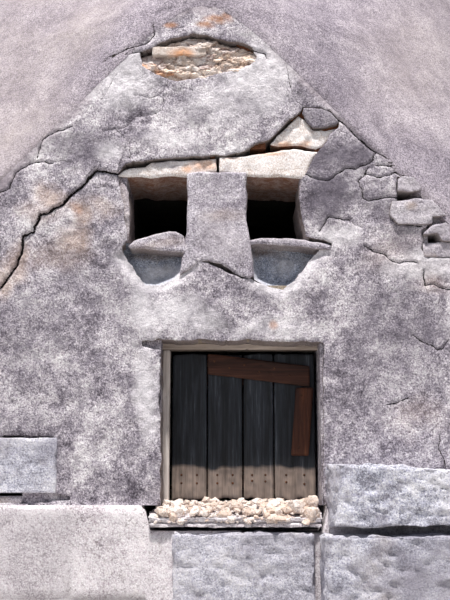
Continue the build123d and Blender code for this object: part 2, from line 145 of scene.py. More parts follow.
def rugged(x, y, z, size, seed, octaves=4):
    """Lumps on lumps, each half the size and half the height of the last."""
    return sum(lumps(x, y, z, size / 2 ** k, seed + k) / 2 ** k for k in range(octaves))


def lumpy(x, y, z, size, seed):
    """Rugged lumps as a share from 0 to 1."""
    return 0.5 + 0.5 * np.clip(rugged(x, y, z, size, seed, 4), -1, 1)


def rounded(edge, radius):
    """How far a rounded edge falls back, at a distance edge from it."""
    t = np.clip(1 - edge / radius, 0, 1)
    return radius * (1 - np.sqrt(np.clip(1 - t * t, 0, 1)))


def mesh_piece(name, points, faces, marks, material, slot, body="house", replaced=()):
    """A mesh object with smooth faces and named numbers at its points."""
    mesh = bpy.data.meshes.new(name)
    mesh.from_pydata(np.asarray(points, float).tolist(), [], np.asarray(faces, int).tolist())
    mesh.polygons.foreach_set("use_smooth", [True] * len(mesh.polygons))
    for key, values in marks.items():
        layer = mesh.attributes.new(key, "FLOAT", "POINT")
        layer.data.foreach_set("value", np.asarray(values, np.float32))
    mesh.materials.append(material)
    piece = bpy.data.objects.new(name, mesh)
    bpy.context.scene.collection.objects.link(piece)
    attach(piece, body)
    if replaced:
        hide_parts(*replaced)
    return piece


def faceted(piece):
    """Shows a piece's faces flat, as on freshly broken stone."""
    piece.data.polygons.foreach_set("use_smooth", [False] * len(piece.data.polygons))


def grid_faces(rows, columns, keep):
    """The kept quads over a grid of points, facing -Y where rows rise and columns go towards +X."""
    i, j = np.meshgrid(np.arange(rows - 1), np.arange(columns - 1), indexing="ij")
    first = i[keep] * columns + j[keep]
    return np.stack([first, first + 1, first + columns + 1, first + columns], 1)


def ring_faces(rows, columns, closed=False):
    """Quads between rows of points that run once round; closed also joins the last row to the first."""
    i, j = np.meshgrid(np.arange(rows if closed else rows - 1), np.arange(columns), indexing="ij")
    below = i * columns
    above = (i + 1) % rows * columns
    right = (j + 1) % columns
    return np.stack([below + j, below + right, above + right, above + j], 2).reshape(-1, 4)


def shades(node, stops):
    """Sets a colour ramp's stops, each a place from 0 to 1 and a colour."""
    ramp = node.color_ramp
    while len(ramp.elements) < len(stops):
        ramp.elements.new(0.5)
    for element, (place, code) in zip(ramp.elements, stops):
        element.position = place
        element.color = colour(code)
    return node


def new_material(name, roughness, specular):
    """A material, its node tree, and the place of each point on the object as an input."""
    material = bpy.data.materials.new(name)
    material.use_nodes = True
    tree = material.node_tree
    shader = tree.nodes["Principled BSDF"]
    shader.inputs["Roughness"].default_value = roughness
    shader.inputs["Specular IOR Level"].default_value = specular
    return material, tree, (put(tree, "ShaderNodeTexCoord"), "Object")


def coated(tree, mixed, height, relief):
    """Leads a mixed colour, and a height in metres as bumps, into a material's shader."""
    shader = tree.nodes["Principled BSDF"]
    tree.links.new(mixed[0].outputs[mixed[1]], shader.inputs["Base Color"])
    bump = put(tree, "ShaderNodeBump", {"Height": (height, 0), "Distance": relief, "Strength": 1.0})
    tree.links.new(bump.outputs[0], shader.inputs["Normal"])


def marked(tree, mixed, marks, noise, high, least):
    """Lays each mark's colour over a colour, unevenly by a noise, where the points carry the mark."""
    for key, code, strength in marks:
        mark = (put(tree, "ShaderNodeAttribute", attribute_name=key), "Fac")
        uneven = put(tree, "ShaderNodeMapRange", {
            0: (noise, 0), 1: 0.35, 2: high, 3: least * strength, 4: strength})
        amount = put(tree, "ShaderNodeMath", {0: mark, 1: uneven}, operation="MULTIPLY", use_clamp=True)
        mixed = (put(tree, "ShaderNodeMix", {0: amount, 6: mixed, 7: colour(code)}, data_type="RGBA"), 2)
    return mixed


def weathered(name, tones, patch, grain, flecks, roughness, relief, marks=(), cracks=None, fall=1.0):
    """Weathered stone or plaster: tones are its shades from dark to light, patch and grain are sizes in
    metres, flecks are (size, from, to, strength, colour), marks are (mark at the points, colour, strength),
    cracks is the colour in cracks, and fall under 1 draws the patches out downwards, as rain does."""
    material, tree, place = new_material(name, roughness, 0.25)
    drawn = put(tree, "ShaderNodeMapping", {"Vector": place, "Scale": (1, 1, fall)})
    broad = put(tree, "ShaderNodeTexNoise", {
        "Vector": drawn, "Scale": 1 / patch, "Detail": 8.0, "Roughness": 0.62, "Distortion": 0.4})
    small = put(tree, "ShaderNodeTexNoise", {
        "Vector": place, "Scale": 1 / grain, "Detail": 6.0, "Roughness": 0.72})
    fine = put(tree, "ShaderNodeTexNoise", {
        "Vector": place, "Scale": 110.0, "Detail": 4.0, "Roughness": 0.65})
    inner = put(tree, "ShaderNodeMix", {0: 0.5, 2: (small, 0), 3: (fine, 0)}, data_type="FLOAT")
    blend = put(tree, "ShaderNodeMix", {0: 0.55, 2: (broad, 0), 3: (inner, 0)}, data_type="FLOAT")
    mixed = (shades(put(tree, "ShaderNodeValToRGB", {0: (blend, 0)}), tones), 0)
    grit = put(tree, "ShaderNodeTexNoise", {"Vector": place, "Scale": 150.0, "Detail": 3.0, "Roughness": 0.7})
    shade = put(tree, "ShaderNodeMapRange", {0: (grit, 0), 1: 0.34, 2: 0.66, 3: 0.08, 4: 0.94})
    gritty = put(tree, "ShaderNodeMix", {0: 0.75, 6: mixed, 7: shade}, data_type="RGBA", blend_type="OVERLAY")
    mixed = (gritty, 2)
    for size, low, high, strength, code in flecks:
        speck = put(tree, "ShaderNodeTexNoise", {
            "Vector": place, "Scale": 1 / size, "Detail": 5.0, "Roughness": 0.72})
        amount = put(tree, "ShaderNodeMapRange", {0: speck, 1: low, 2: high, 3: 0.0, 4: strength})
        mixed = (put(tree, "ShaderNodeMix", {0: amount, 6: mixed, 7: colour(code)}, data_type="RGBA"), 2)
    mixed = marked(tree, mixed, marks, small, 0.6, 0.6)
    if cracks:
        wander = put(tree, "ShaderNodeMapRange", {0: (fine, 0), 1: 0.3, 2: 0.7, 3: -0.0026, 4: 0.0026})
        side = (put(tree, "ShaderNodeAttribute", attribute_name="crack_side"), "Fac")
        across = put(tree, "ShaderNodeMath", {0: side, 1: wander}, operation="ADD")
        across = put(tree, "ShaderNodeMath", {0: across}, operation="ABSOLUTE")
        pinch = put(tree, "ShaderNodeMapRange", {0: (small, 0), 1: 0.38, 2: 0.6, 3: 0.55, 4: 1.3})
        width = (put(tree, "ShaderNodeAttribute", attribute_name="crack_width"), "Fac")
        width = put(tree, "ShaderNodeMath", {0: width, 1: pinch}, operation="MULTIPLY")
        inside = put(tree, "ShaderNodeMath", {0: width, 1: across}, operation="SUBTRACT")
        near = (put(tree, "ShaderNodeAttribute", attribute_name="crack_near"), "Fac")
        close = put(tree, "ShaderNodeMath", {0: 0.008, 1: near}, operation="SUBTRACT")
        least = put(tree, "ShaderNodeMath", {0: inside, 1: close}, operation="MINIMUM")
        amount = put(tree, "ShaderNodeMapRange", {0: least, 1: 0.0, 2: 0.0008, 3: 0.0, 4: 1.0})
        mixed = (put(tree, "ShaderNodeMix", {0: amount, 6: mixed, 7: colour(cracks)}, data_type="RGBA"), 2)
    pits = put(tree, "ShaderNodeTexNoise", {"Vector": place, "Scale": 110.0, "Detail": 5.0, "Roughness": 0.7})
    height = put(tree, "ShaderNodeMix", {0: 0.45, 2: (small, 0), 3: (pits, 0)}, data_type="FLOAT")
    coated(tree, mixed, height, relief)
    return material


def dress(nodes, material):
    """Gives a material to nodes that are shown as they are."""
    for name in nodes:
        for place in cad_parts[name].material_slots:
            place.material = material


# Hard limestone, split and left rough, then weathered outdoors: dull, pale, with bluish lichen.
PALE_FLECKS = (0.012, 0.58, 0.68, 0.6, "#e2dee2")
DARK_FLECKS = (0.011, 0.44, 0.35, 0.75, "#4f4952")
LICHEN = (0.12, 0.52, 0.62, 0.5, "#736d78")
block_limestone = weathered(
    "weathered_block_limestone",
    [(0.38, "#70707d"), (0.45, "#a8a9b7"), (0.51, "#ccccd8"), (0.57, "#e0dfe6"), (0.65, "#f1eff1")],
    0.20, 0.040, [PALE_FLECKS, DARK_FLECKS, LICHEN], 0.88, 0.012,
    [("tint", "#b9b3b9", 0.4), ("ochre", "#b3a08c", 0.35), ("dim", "#8b8793", 0.8)],
)
drum_limestone = weathered(
    "weathered_drum_limestone",
    [(0.38, "#90888e"), (0.45, "#c1b9be"), (0.52, "#e0d9dd"), (0.59, "#ede7e9"), (0.68, "#f4f0f0")],
    0.30, 0.050, [(0.03, 0.56, 0.68, 0.6, "#e8e1e0"), (0.02, 0.44, 0.34, 0.7, "#7d7372")], 0.88, 0.009,
    [("tint", "#a9a3a8", 0.5), ("ochre", "#c0a890", 0.5), ("joint", "#4a3f35", 1.0)],
)

DRUM_RADIUS = 3.45
DRUM_TOP = 1.2
DRUM_FRONT = -2.70
ROOM_RADIUS = 2.0
COURSES = [0.0, 0.41, 0.80, DRUM_TOP]
INNER_COURSES = [0.0, 0.24, 0.46, 0.72, 0.95, DRUM_TOP]
BLOCK_LENGTH = 0.75
INNER_BLOCK_LENGTH = 0.42
SILL_MIDDLE = 0.145
SILL_HALF_WIDTH = 0.39
SILL_BED_TOP = 1.09
SILL_BED_BACK = -2.15


def block_joints(angle, z, radius, edges, block_length, seed):
    """The distance to the nearest joint of a coursed round wall, and a random number for each block."""
    rng = np.random.default_rng(seed)
    nearest = np.full(np.shape(z), 9.0)
    number = np.zeros(np.shape(z))
    wavy = z + 0.006 * lumps(angle * radius, 0, z, 0.35, seed)
    for low, high in zip(edges, edges[1:]):
        count = max(6, round(2 * math.pi * radius / block_length))
        ends = np.cumsum(rng.uniform(0.6, 1.4, count))
        ends = ends / ends[-1] * 2 * math.pi - math.pi
        tints = rng.uniform(0, 1, count + 1)
        here = (wavy >= low) & (wavy <= high)
        turn = angle + 0.004 * lumps(angle * radius, 5, z, 0.2, seed + 1)
        place = np.clip(np.searchsorted(ends, turn), 0, count - 1)
        before = np.where(place > 0, ends[place - 1], -math.pi)
        side = np.minimum(np.abs(turn - before), np.abs(ends[place] - turn)) * radius
        bed = np.minimum(np.abs(wavy - low), np.abs(high - wavy))
        nearest = np.where(here, np.minimum(side, bed), nearest)
        number = np.where(here, tints[place], number)
    return nearest, number


turns = np.linspace(-math.pi, math.pi, 621)
# One loop of points round the wall's section: up outside, over the top, down inside and back below.
loop = [(z, 1.0, "out") for z in np.linspace(0, DRUM_TOP, 56)]
loop += [(DRUM_TOP, s, "flat") for s in (0.95, 0.85, 0.5)]
loop += [(z, 0.0, "in") for z in np.linspace(DRUM_TOP, 0, 28)]
loop += [(0.0, s, "flat") for s in (0.5, 1.0)]
heights = np.array([z for z, s, k in loop])[:, None] + 0 * turns[None, :]
shares = np.array([s for z, s, k in loop])[:, None]
angles = turns[None, :] + 0 * heights
front_reach = np.where(np.cos(angles) > 0.05, -DRUM_FRONT / np.maximum(np.cos(angles), 0.05), 9.0)
outer = np.minimum(DRUM_RADIUS, front_reach)
radii = ROOM_RADIUS + shares * (outer - ROOM_RADIUS)
gap, tint = block_joints(angles, heights, DRUM_RADIUS, COURSES, BLOCK_LENGTH, 21)
inner_gap, inner_tint = block_joints(
    angles, heights, ROOM_RADIUS, INNER_COURSES, INNER_BLOCK_LENGTH, 22)
outward = np.array([k == "out" for z, s, k in loop])[:, None]
inward = np.array([k == "in" for z, s, k in loop])[:, None]
swell = lumpy(radii * np.sin(angles), -radii * np.cos(angles), heights, 0.30, 24)
worn = 0.012 * swell + 0.020 * np.exp(-(gap / 0.011) ** 2) + rounded(gap, 0.02) + 0.016 * tint
worn_inside = 0.010 * swell + 0.020 * np.exp(-(inner_gap / 0.012) ** 2) + rounded(inner_gap, 0.015)
rims = np.minimum(heights, DRUM_TOP - heights)
radii = radii - np.where(outward, worn + rounded(rims, 0.025), 0) + np.where(inward, worn_inside, 0)
joint = np.where(inward, np.exp(-(inner_gap / 0.012) ** 2), 0)
joint = np.where(outward, np.exp(-(gap / 0.010) ** 2), joint)
points = np.stack([radii * np.sin(angles), -radii * np.cos(angles), heights], 2)[:, :-1]
# Under the hatch's sill slabs the wall ends a little lower.
under_sill = np.abs(points[..., 0] - SILL_MIDDLE) < SILL_HALF_WIDTH
under_sill &= points[..., 1] < SILL_BED_BACK
points[..., 2] = np.where(under_sill, points[..., 2] * SILL_BED_TOP / DRUM_TOP, points[..., 2])
faces = ring_faces(*points.shape[:2], closed=True)
marks = {"joint": joint[:, :-1].ravel(), "tint": np.where(outward, tint, inner_tint)[:, :-1].ravel()}
mesh_piece("drum_masonry", points.reshape(-1, 3), faces, marks, drum_limestone, "limestone",
           replaced=("drum_left", "drum_right", "drum_back", "drum_front_left", "drum_front_right"))


# Room floor: stone flags on earth, worn smooth, with dirt in the joints. A Voronoi pattern draws the
# joints between flags that are about half a metre across.
floor_flags = weathered(
    "worn_floor_flags", [(0.35, "#7d756d"), (0.5, "#978f86"), (0.68, "#aea69b")],
    0.45, 0.05, [(0.02, 0.58, 0.7, 0.8, "#c0b8ac")], 0.75, 0.004)
tree = floor_flags.node_tree
place = (put(tree, "ShaderNodeTexCoord"), "Object")
cells = put(tree, "ShaderNodeTexVoronoi", {"Vector": place, "Scale": 2.2}, feature="DISTANCE_TO_EDGE")
seam = put(tree, "ShaderNodeMapRange", {0: (cells, 0), 1: 0.0, 2: 0.05, 3: 1.0, 4: 0.0})
paint = tree.nodes["Principled BSDF"].inputs["Base Color"]
stone = (paint.links[0].from_node, 2)
dirty = put(tree, "ShaderNodeMix", {0: seam, 6: stone, 7: colour("#4a4038")}, data_type="RGBA")
tree.links.new(dirty.outputs[2], paint)
dress(["floor_slab"], floor_flags)


# Front blocks: rough-split limestone blocks under and beside the hatch, bedded dry on one another,
# with worn edges, chipped corners and pits along the bedding.

# At a box's corner the distance to the rounding's centre is longer than the radius by this share.
CORNER_EXCESS = 0.73


def block(name, low, high, radius, cell, relief, material, slot, body="house", replaced=(), shape=None,
          marks=None):
    """A block with rounded edges, shrunk inwards by relief(points, corner), then bent by shape(points)."""
    low, high = np.array(low, float), np.array(high, float)
    counts = np.maximum(2, np.ceil((high - low) / cell).astype(int))
    points, faces, base = [], [], 0
    for axis in range(3):
        u, v = (axis + 1) % 3, (axis + 2) % 3
        along_u, along_v = np.linspace(0, 1, counts[u] + 1), np.linspace(0, 1, counts[v] + 1)
        for side in (0, 1):
            a, b = np.meshgrid(along_u, along_v, indexing="ij")
            p = np.zeros(a.shape + (3,))
            p[..., axis] = side
            p[..., u] = a
            p[..., v] = b
            points.append((low + p * (high - low)).reshape(-1, 3))
            columns = counts[v] + 1
            i, j = np.meshgrid(np.arange(counts[u]), np.arange(counts[v]), indexing="ij")
            i, j = i.ravel(), j.ravel()
            quad = [i * columns + j, (i + 1) * columns + j, (i + 1) * columns + j + 1, i * columns + j + 1]
            faces.append(np.stack(quad if side else quad[::-1], 1) + base)
            base += a.size
    points = np.concatenate(points)
    placed = np.round(points * 1e5).astype(int)
    _, first, same = np.unique(placed, axis=0, return_index=True, return_inverse=True)
    points = points[first]
    faces = same.reshape(-1)[np.concatenate(faces)]
    core = np.clip(points, low + radius, high - radius)
    way = points - core
    length = np.linalg.norm(way, axis=1, keepdims=True) + 1e-12
    way = way / length
    corner = np.clip(length[:, 0] / radius - 1, 0, CORNER_EXCESS) / CORNER_EXCESS
    points = core + way * radius
    depth = relief(points, corner)
    given = marks(points, depth) if marks else {}
    points = points - way * depth[:, None]
    if shape:
        points = shape(points)
    return mesh_piece(name, points, faces, given, material, slot, body, replaced)


def split_stone(deep, size, seed):
    """The relief of rough-split stone: broad hollows, small pits and chipped corners."""
    def relief(p, corner):
        x, y, z = p.T
        broad = np.clip(0.5 + 0.55 * rugged(x, y, z, size, seed, 4), 0, 1.3)
        ridge = 1 - np.abs(rugged(x, y, z * 1.6, size * 0.45, seed + 50, 4))
        pits = np.clip(rugged(x, y, z * 1.5, size * 0.16, seed + 70, 2) - 0.25, 0, 1)
        chipped = np.clip(lumps(x, y, z, size * 0.35, seed + 60) + 0.2, 0, 1) * corner
        return deep * (0.55 * broad + 0.35 * np.clip(ridge, 0, 1) + 0.5 * pits + 1.5 * chipped)
    return relief


def stone_marks(seed, dim=0.0):
    """Ochre, tint and dim patches on a block's face."""
    def marks(p, depth):
        x, y, z = p.T
        return {"ochre": np.clip(2.2 * rugged(x, y, z, 0.25, seed, 3) - 1.2, 0, 1),
                "tint": np.clip(0.5 + rugged(x, y, z, 0.4, seed + 3, 3), 0, 1),
                "dim": np.clip(dim + 0.8 * rugged(x, y, z, 0.22, seed + 6, 3), 0, 1)}
    return marks


BUTTRESS_LEFT = 0.532
BUTTRESS_BACK = -2.60
WALL_BACK = -2.20


def lean_back(p):
    """The buttress's upper block: its left end is split at a slant and its top falls to the right."""
    x, y, z = p.T.copy()
    from_left = np.clip(1 - (x - BUTTRESS_LEFT) / 0.25, 0, 1)
    front = np.clip((BUTTRESS_BACK - y) / 0.30, 0, 1)
    x = x + 0.045 * from_left * front * (0.3 + 0.7 * (z - 1.1) / 0.285)
    z = z - 0.030 * np.clip((x - 0.6) / 0.6, 0, 1) * np.clip((z - 1.15) / 0.2, 0, 1)
    return np.stack([x, y, z], 1)


FRONT_BLOCKS = [
    ("buttress_upper_block", "buttress_upper",
     (BUTTRESS_LEFT, -2.900, 1.102), (1.444, BUTTRESS_BACK, 1.385),
     0.018, 0.010, (0.030, 0.17, 101), (11, 0.05), lean_back),
    ("buttress_lower_block", "buttress_lower",
     (0.496, -2.915, 0.562), (1.480, BUTTRESS_BACK, 1.094),
     0.028, 0.012, (0.030, 0.20, 111), (12, 0.45), None),
    ("buttress_base_block", "buttress_base",
     (0.470, -2.930, 0.0), (1.506, BUTTRESS_BACK, 0.558),
     0.040, 0.022, (0.018, 0.24, 121), (13, 0.0), None),
    ("front_big_block", "front_block",
     (-0.137, -2.735, 0.562), (0.496, WALL_BACK, 1.096),
     0.022, 0.012, (0.024, 0.18, 131), (14, 0.15), None),
    ("left_course_block", "left_course",
     (-1.700, -2.642, 1.246), (-0.640, WALL_BACK, 1.500),
     0.010, 0.012, (0.012, 0.20, 141), (15, 0.0), None),
]
for name, node, low, high, radius, cell, split, stain, shape in FRONT_BLOCKS:
    block(name, low, high, radius, cell, split_stone(*split), block_limestone, "limestone",
          replaced=(node,), shape=shape, marks=stone_marks(*stain))
block("course_wedge_stone", (-0.905, -2.622, 1.203), (-0.795, -2.560, 1.238), 0.012, 0.007,
      split_stone(0.006, 0.05, 145), drum_limestone, "limestone", marks=stone_marks(17))


# Hatch sill: thin slabs of bedded limestone, split by hand and laid dry under the hatch, with a dark
# open joint between them. Their top slopes out.
SILL_FRONT = -2.720
SILL_FOOT = 1.10


def sill_slope(p):
    """Slopes the slabs' top down towards the front, so that rain runs off."""
    x, y, z = p.T.copy()
    top = 1.150 + 0.05 * np.clip((y - SILL_FRONT) / 0.22, 0, 1)
    z = SILL_FOOT + (z - SILL_FOOT) * (top - SILL_FOOT) / 0.10
    return np.stack([x, y, z], 1)


def bedded(p, corner):
    """Split stone with one dark bedding joint half way up."""
    x, y, z = p.T
    bed = np.exp(-((z - 1.147 - 0.010 * rugged(x, y, 0, 0.12, 7, 4)) / 0.006) ** 2)
    return 0.022 * bed + split_stone(0.024, 0.09, 151)(p, corner)


block("hatch_sill_slabs", (-0.240, SILL_FRONT, 1.102), (0.530, WALL_BACK, 1.200), 0.012, 0.007, bedded,
      drum_limestone, "limestone", replaced=("sill_bed",), shape=sill_slope, marks=stone_marks(16))


# Hatch frame: a head board and a jamb board of sawn softwood, unpainted and silvered by the weather,
# let into the masonry.
STREAK = 0.010


def timber(name, tones, roughness, marks=(), along="Z"):
    """Weathered sawn wood, with fine streaks that run along one axis."""
    material, tree, place = new_material(name, roughness, 0.3)
    stretch = {"X": (0.05, 1, 1), "Z": (1, 1, 0.05)}[along]
    grain = put(tree, "ShaderNodeMapping", {"Vector": place, "Scale": stretch})
    fine = put(tree, "ShaderNodeTexNoise", {
        "Vector": grain, "Scale": 1 / STREAK, "Detail": 8.0, "Roughness": 0.7, "Distortion": 0.25})
    wide = put(tree, "ShaderNodeTexNoise", {
        "Vector": grain, "Scale": 0.22 / STREAK, "Detail": 3.0, "Roughness": 0.5})
    blend = put(tree, "ShaderNodeMix", {0: 0.4, 2: (fine, 0), 3: (wide, 0)}, data_type="FLOAT")
    mixed = (shades(put(tree, "ShaderNodeValToRGB", {0: (blend, 0)}), tones), 0)
    mixed = marked(tree, mixed, marks, fine, 0.65, 0.5)
    coated(tree, mixed, fine, 0.003)
    return material


# The frame woods' dark mark is painted shade on the boards behind their front edge.
frame_wood_along = timber(
    "silvered_softwood_head",
    [(0.32, "#7b6e66"), (0.45, "#a0938a"), (0.56, "#bbafa6"), (0.70, "#d6cbc3")],
    0.8, [("dark", "#2c211a", 0.95)], along="X")
# The jamb board's shades are lighter than the head board's: painted sunlight on a board that sits in the
# reveal's shade.
jamb_wood_painted_sunlit = timber(
    "silvered_softwood_jamb_painted_sunlit",
    [(0.32, "#968b84"), (0.45, "#bdb2ac"), (0.56, "#d6cdc8"), (0.70, "#eae4e0")],
    0.8, [("dark", "#3a2e27", 0.8)])
FRAME_FRONT = -2.470
FRAME_BACK = -2.380
SHADE_BEHIND_Y = -2.466
FRAME_BOARDS = [
    ("hatch_head_timber", "hatch_head_board", -0.270, 0.560, 1.910, 1.940, "X", 201, frame_wood_along),
    ("hatch_jamb_timber", "hatch_jamb_board", -0.190, -0.154, 1.200, 1.910, "Z", 205, jamb_wood_painted_sunlit),
]


def worn_wood(along, deep, seed):
    """The relief of old wood: raised grain, worn corners and a few long splits along the grain."""
    def relief(p, corner):
        x, y, z = p.T
        line, cross = (x, z) if along == "X" else (z, x)
        grain = 0.5 + 0.5 * rugged(cross, y, line * 0.05, 0.012, seed, 3)
        split = np.exp(-(rugged(cross, y, line * 0.12, 0.06, seed + 9, 2) / 0.035) ** 2)
        wear = np.clip(0.4 + lumps(x, y, z, 0.05, seed + 5), 0, 1.4) * corner
        return deep * (0.6 * grain + 1.3 * split + 1.6 * wear)
    return relief


def painted_shade_behind_front(p, depth):
    """Boards keep their own colour on the front edge and are darkened behind it, as painted shade under the
    plaster's lip.
    """
    x, y, z = p.T
    return {"dark": np.clip((y - SHADE_BEHIND_Y) / 0.012, 0, 1)}


for name, node, left, right, foot, head, along, seed, wood in FRAME_BOARDS:
    block(name, (left, FRAME_FRONT, foot), (right, FRAME_BACK, head), 0.005, 0.006,
          worn_wood(along, 0.0030, seed), wood, "frame_wood", replaced=(node,), marks=painted_shade_behind_front)


# Hatch leaf: four upright planks gone slate-dark, nailed to two ledges behind, and patched in front
# with a sloping rail and a leaning stile of red-brown wood. Each plank's foot, below the lintel's
# shadow line, is painted lighter: painted sunlight, with some real bleaching from rain splash.
plank_wood = timber(
    "slate_dark_old_planks",
    [(0.34, "#0b0d10"), (0.45, "#191c21"), (0.56, "#2b2f36"), (0.68, "#5a5f66")],
    0.65, [("bleached", "#a8968a", 0.9), ("dark", "#141215", 0.9)])
batten_wood_along = timber(
    "red_brown_old_rail",
    [(0.32, "#170b07"), (0.45, "#2a160f"), (0.58, "#43261b"), (0.72, "#664434")],
    0.7, along="X")
batten_wood_up = timber(
    "red_brown_old_stile",
    [(0.32, "#1f100b"), (0.45, "#351b12"), (0.58, "#4d2b1b"), (0.72, "#6a3f28")],
    0.7)
PLANKS = [(-0.146, 0.016), (0.020, 0.180), (0.186, 0.325), (0.329, 0.518)]
PLANK_FRONT = -2.425
PLANK_BACK = -2.395
PLANK_FOOT = 1.210
PLANK_HEAD = 1.900
# Height of the lintel's shadow line on the planks; below it the feet carry painted sunlight.
SUNLIT_BLEACHED_TO = 1.372
BATTEN_FRONT = -2.445
RAIL_LEFT = 0.018
RAIL_RIGHT = 0.495
RAIL_DROP = 0.059
STILE_LEFT = 0.430
STILE_FOOT = 1.422
STILE_HEAD = 1.737
STILE_LEAN = 0.026
LEDGE_FEET = (1.270, 1.750)
LEDGE_HEIGHT = 0.090
LEDGE_BACK = -2.370


def ragged_ends(number):
    """A plank's foot and head, worn away unevenly."""
    def shape(p):
        x, y, z = p.T.copy()
        share = np.clip((z - PLANK_FOOT) / (PLANK_HEAD - PLANK_FOOT), 0, 1)
        foot = 0.010 + 0.012 * rugged(x, 0, 0, 0.05, 310 + number, 3)
        head = 0.006 + 0.006 * rugged(x, 0, 0, 0.05, 320 + number, 3)
        z = z + np.clip(foot, 0, 1) * (1 - share) ** 3 - np.clip(head, 0, 1) * share ** 3
        return np.stack([x, y, z], 1)
    return shape


def sunlit_splashed_foot(number):
    """A plank's foot: painted sunlight below the lintel's shadow line, partly real splash bleaching, above a
    dark wet end.
    """
    def marks(p, depth):
        x, y, z = p.T
        line = SUNLIT_BLEACHED_TO + 0.010 * rugged(x, 0, 0, 0.08, 330 + number, 3)
        bleached = np.clip((line - z) / 0.012, 0, 1) * (0.75 + 0.25 * lumps(x, y, z, 0.02, 340))
        return {"bleached": bleached, "dark": np.clip(1 - (z - 1.20) / 0.03, 0, 1)}
    return marks


def rail_slope(p):
    """The rail falls towards its right end."""
    x, y, z = p.T.copy()
    return np.stack([x, y, z - (x - RAIL_LEFT) * RAIL_DROP / (RAIL_RIGHT - RAIL_LEFT)], 1)


def stile_lean(p):
    """The stile's head leans to the right."""
    x, y, z = p.T.copy()
    return np.stack([x + STILE_LEFT - STILE_LEAN * (STILE_HEAD - z) / (STILE_HEAD - STILE_FOOT), y, z], 1)


for number, (left, right) in enumerate(PLANKS):
    block(f"leaf_plank_{number + 1}", (left, PLANK_FRONT, PLANK_FOOT), (right, PLANK_BACK, PLANK_HEAD),
          0.004, 0.009, worn_wood("Z", 0.0022, 300 + 3 * number), plank_wood, "plank_wood", "hatch_leaf",
          ("leaf_planks",) if number == 0 else (), ragged_ends(number), sunlit_splashed_foot(number))
block("leaf_rail_batten", (RAIL_LEFT, BATTEN_FRONT, 1.799), (RAIL_RIGHT, PLANK_FRONT, 1.897), 0.004, 0.009,
      worn_wood("X", 0.002, 351), batten_wood_along, "batten_wood", "hatch_leaf", ("leaf_rail",), rail_slope)
block("leaf_stile_batten", (0.0, BATTEN_FRONT, STILE_FOOT), (0.082, PLANK_FRONT, STILE_HEAD), 0.004, 0.009,
      worn_wood("Z", 0.002, 355), batten_wood_up, "batten_wood", "hatch_leaf", ("leaf_stile",), stile_lean)
for number, low in enumerate(LEDGE_FEET):
    block(f"leaf_ledge_{number + 1}", (-0.126, PLANK_BACK, low), (0.498, LEDGE_BACK, low + LEDGE_HEIGHT),
          0.004, 0.012, worn_wood("X", 0.002, 361 + number), batten_wood_along, "batten_wood",
          "hatch_leaf", ("leaf_ledges",) if number == 0 else ())


# Hinges and nails: two forged straps on pins behind the leaf, and round-headed nails driven through the
# planks and battens from the front. All of it is wrought iron, rusted brown.
iron = weathered(
    "rusted_wrought_iron",
    [(0.35, "#2b211d"), (0.5, "#4a3226"), (0.62, "#6b4229"), (0.75, "#85552f")],
    0.03, 0.008, [(0.004, 0.6, 0.7, 0.8, "#98663a")], 0.7, 0.001)
iron.node_tree.nodes["Principled BSDF"].inputs["Metallic"].default_value = 0.35
dress(["leaf_straps", "hinge_pintles"], iron)
PLANK_NAIL_Y = -2.4245
BATTEN_NAIL_Y = -2.4445


def grow(name, carrier_points, carrier_faces, build, material, body):
    """Runs a Geometry Nodes tree on a carrier mesh and keeps its result as a plain mesh piece."""
    tree = bpy.data.node_groups.new(name, "GeometryNodeTree")
    tree.interface.new_socket("Geometry", in_out="INPUT", socket_type="NodeSocketGeometry")
    tree.interface.new_socket("Geometry", in_out="OUTPUT", socket_type="NodeSocketGeometry")
    sizes = {}

    def size(title, value, kind="NodeSocketFloat"):
        socket = tree.interface.new_socket(title, in_out="INPUT", socket_type=kind)
        sizes[socket.identifier] = value

    made = build(tree, size)
    real = put(tree, "GeometryNodeRealizeInstances", {"Geometry": made})
    done = put(tree, "GeometryNodeSetMaterial", {"Geometry": real, "Material": material})
    put(tree, "NodeGroupOutput", {0: done})
    mesh = bpy.data.meshes.new(name + "_carrier")
    mesh.from_pydata(carrier_points, [], carrier_faces)
    carrier = bpy.data.objects.new(name + "_carrier", mesh)
    bpy.context.scene.collection.objects.link(carrier)
    modifier = carrier.modifiers.new(name, "NODES")
    modifier.node_group = tree
    for identifier, value in sizes.items():
        modifier[identifier] = value
    seen = carrier.evaluated_get(bpy.context.evaluated_depsgraph_get())
    plain = bpy.data.meshes.new_from_object(seen)
    bpy.data.objects.remove(carrier)
    piece = bpy.data.objects.new(name, plain)
    bpy.context.scene.collection.objects.link(piece)
    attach(piece, body)
    return piece


def nail_heads(tree, size):
    """A flattened ball on every point of the carrier."""
    size("Head radius", 0.0055)
    size("Head height", 0.0025)
    given = put(tree, "NodeGroupInput")
    radius, height = (given, "Head radius"), (given, "Head height")
    head = put(tree, "GeometryNodeMeshUVSphere", {"Segments": 10, "Rings": 6, "Radius": radius})
    flat = put(tree, "ShaderNodeMath", {0: height, 1: radius}, operation="DIVIDE")
    scale = put(tree, "ShaderNodeCombineXYZ", {0: 1.0, 1: flat, 2: 1.0})
    spots = put(tree, "GeometryNodeMeshToPoints", {"Mesh": (given, "Geometry")})
    return put(tree, "GeometryNodeInstanceOnPoints", {"Points": spots, "Instance": head, "Scale": scale})


nails = []
for left, right in PLANKS:
    for share in (0.28, 0.72):
        across = left + share * (right - left)
        nails.append((across, PLANK_NAIL_Y, 1.301 + 0.008 * math.sin(90 * across)))
        nails.append((across, PLANK_NAIL_Y, 1.335))
nails += [(0.05 + 0.07 * k, BATTEN_NAIL_Y, 1.848 - 0.0087 * k + 0.012 * (-1) ** k) for k in range(6)]
nails += [(x, BATTEN_NAIL_Y, z) for x, z in ((0.455, 1.70), (0.462, 1.58), (0.440, 1.46))]
grow("leaf_nail_heads", nails, [], nail_heads, iron, "hatch_leaf")


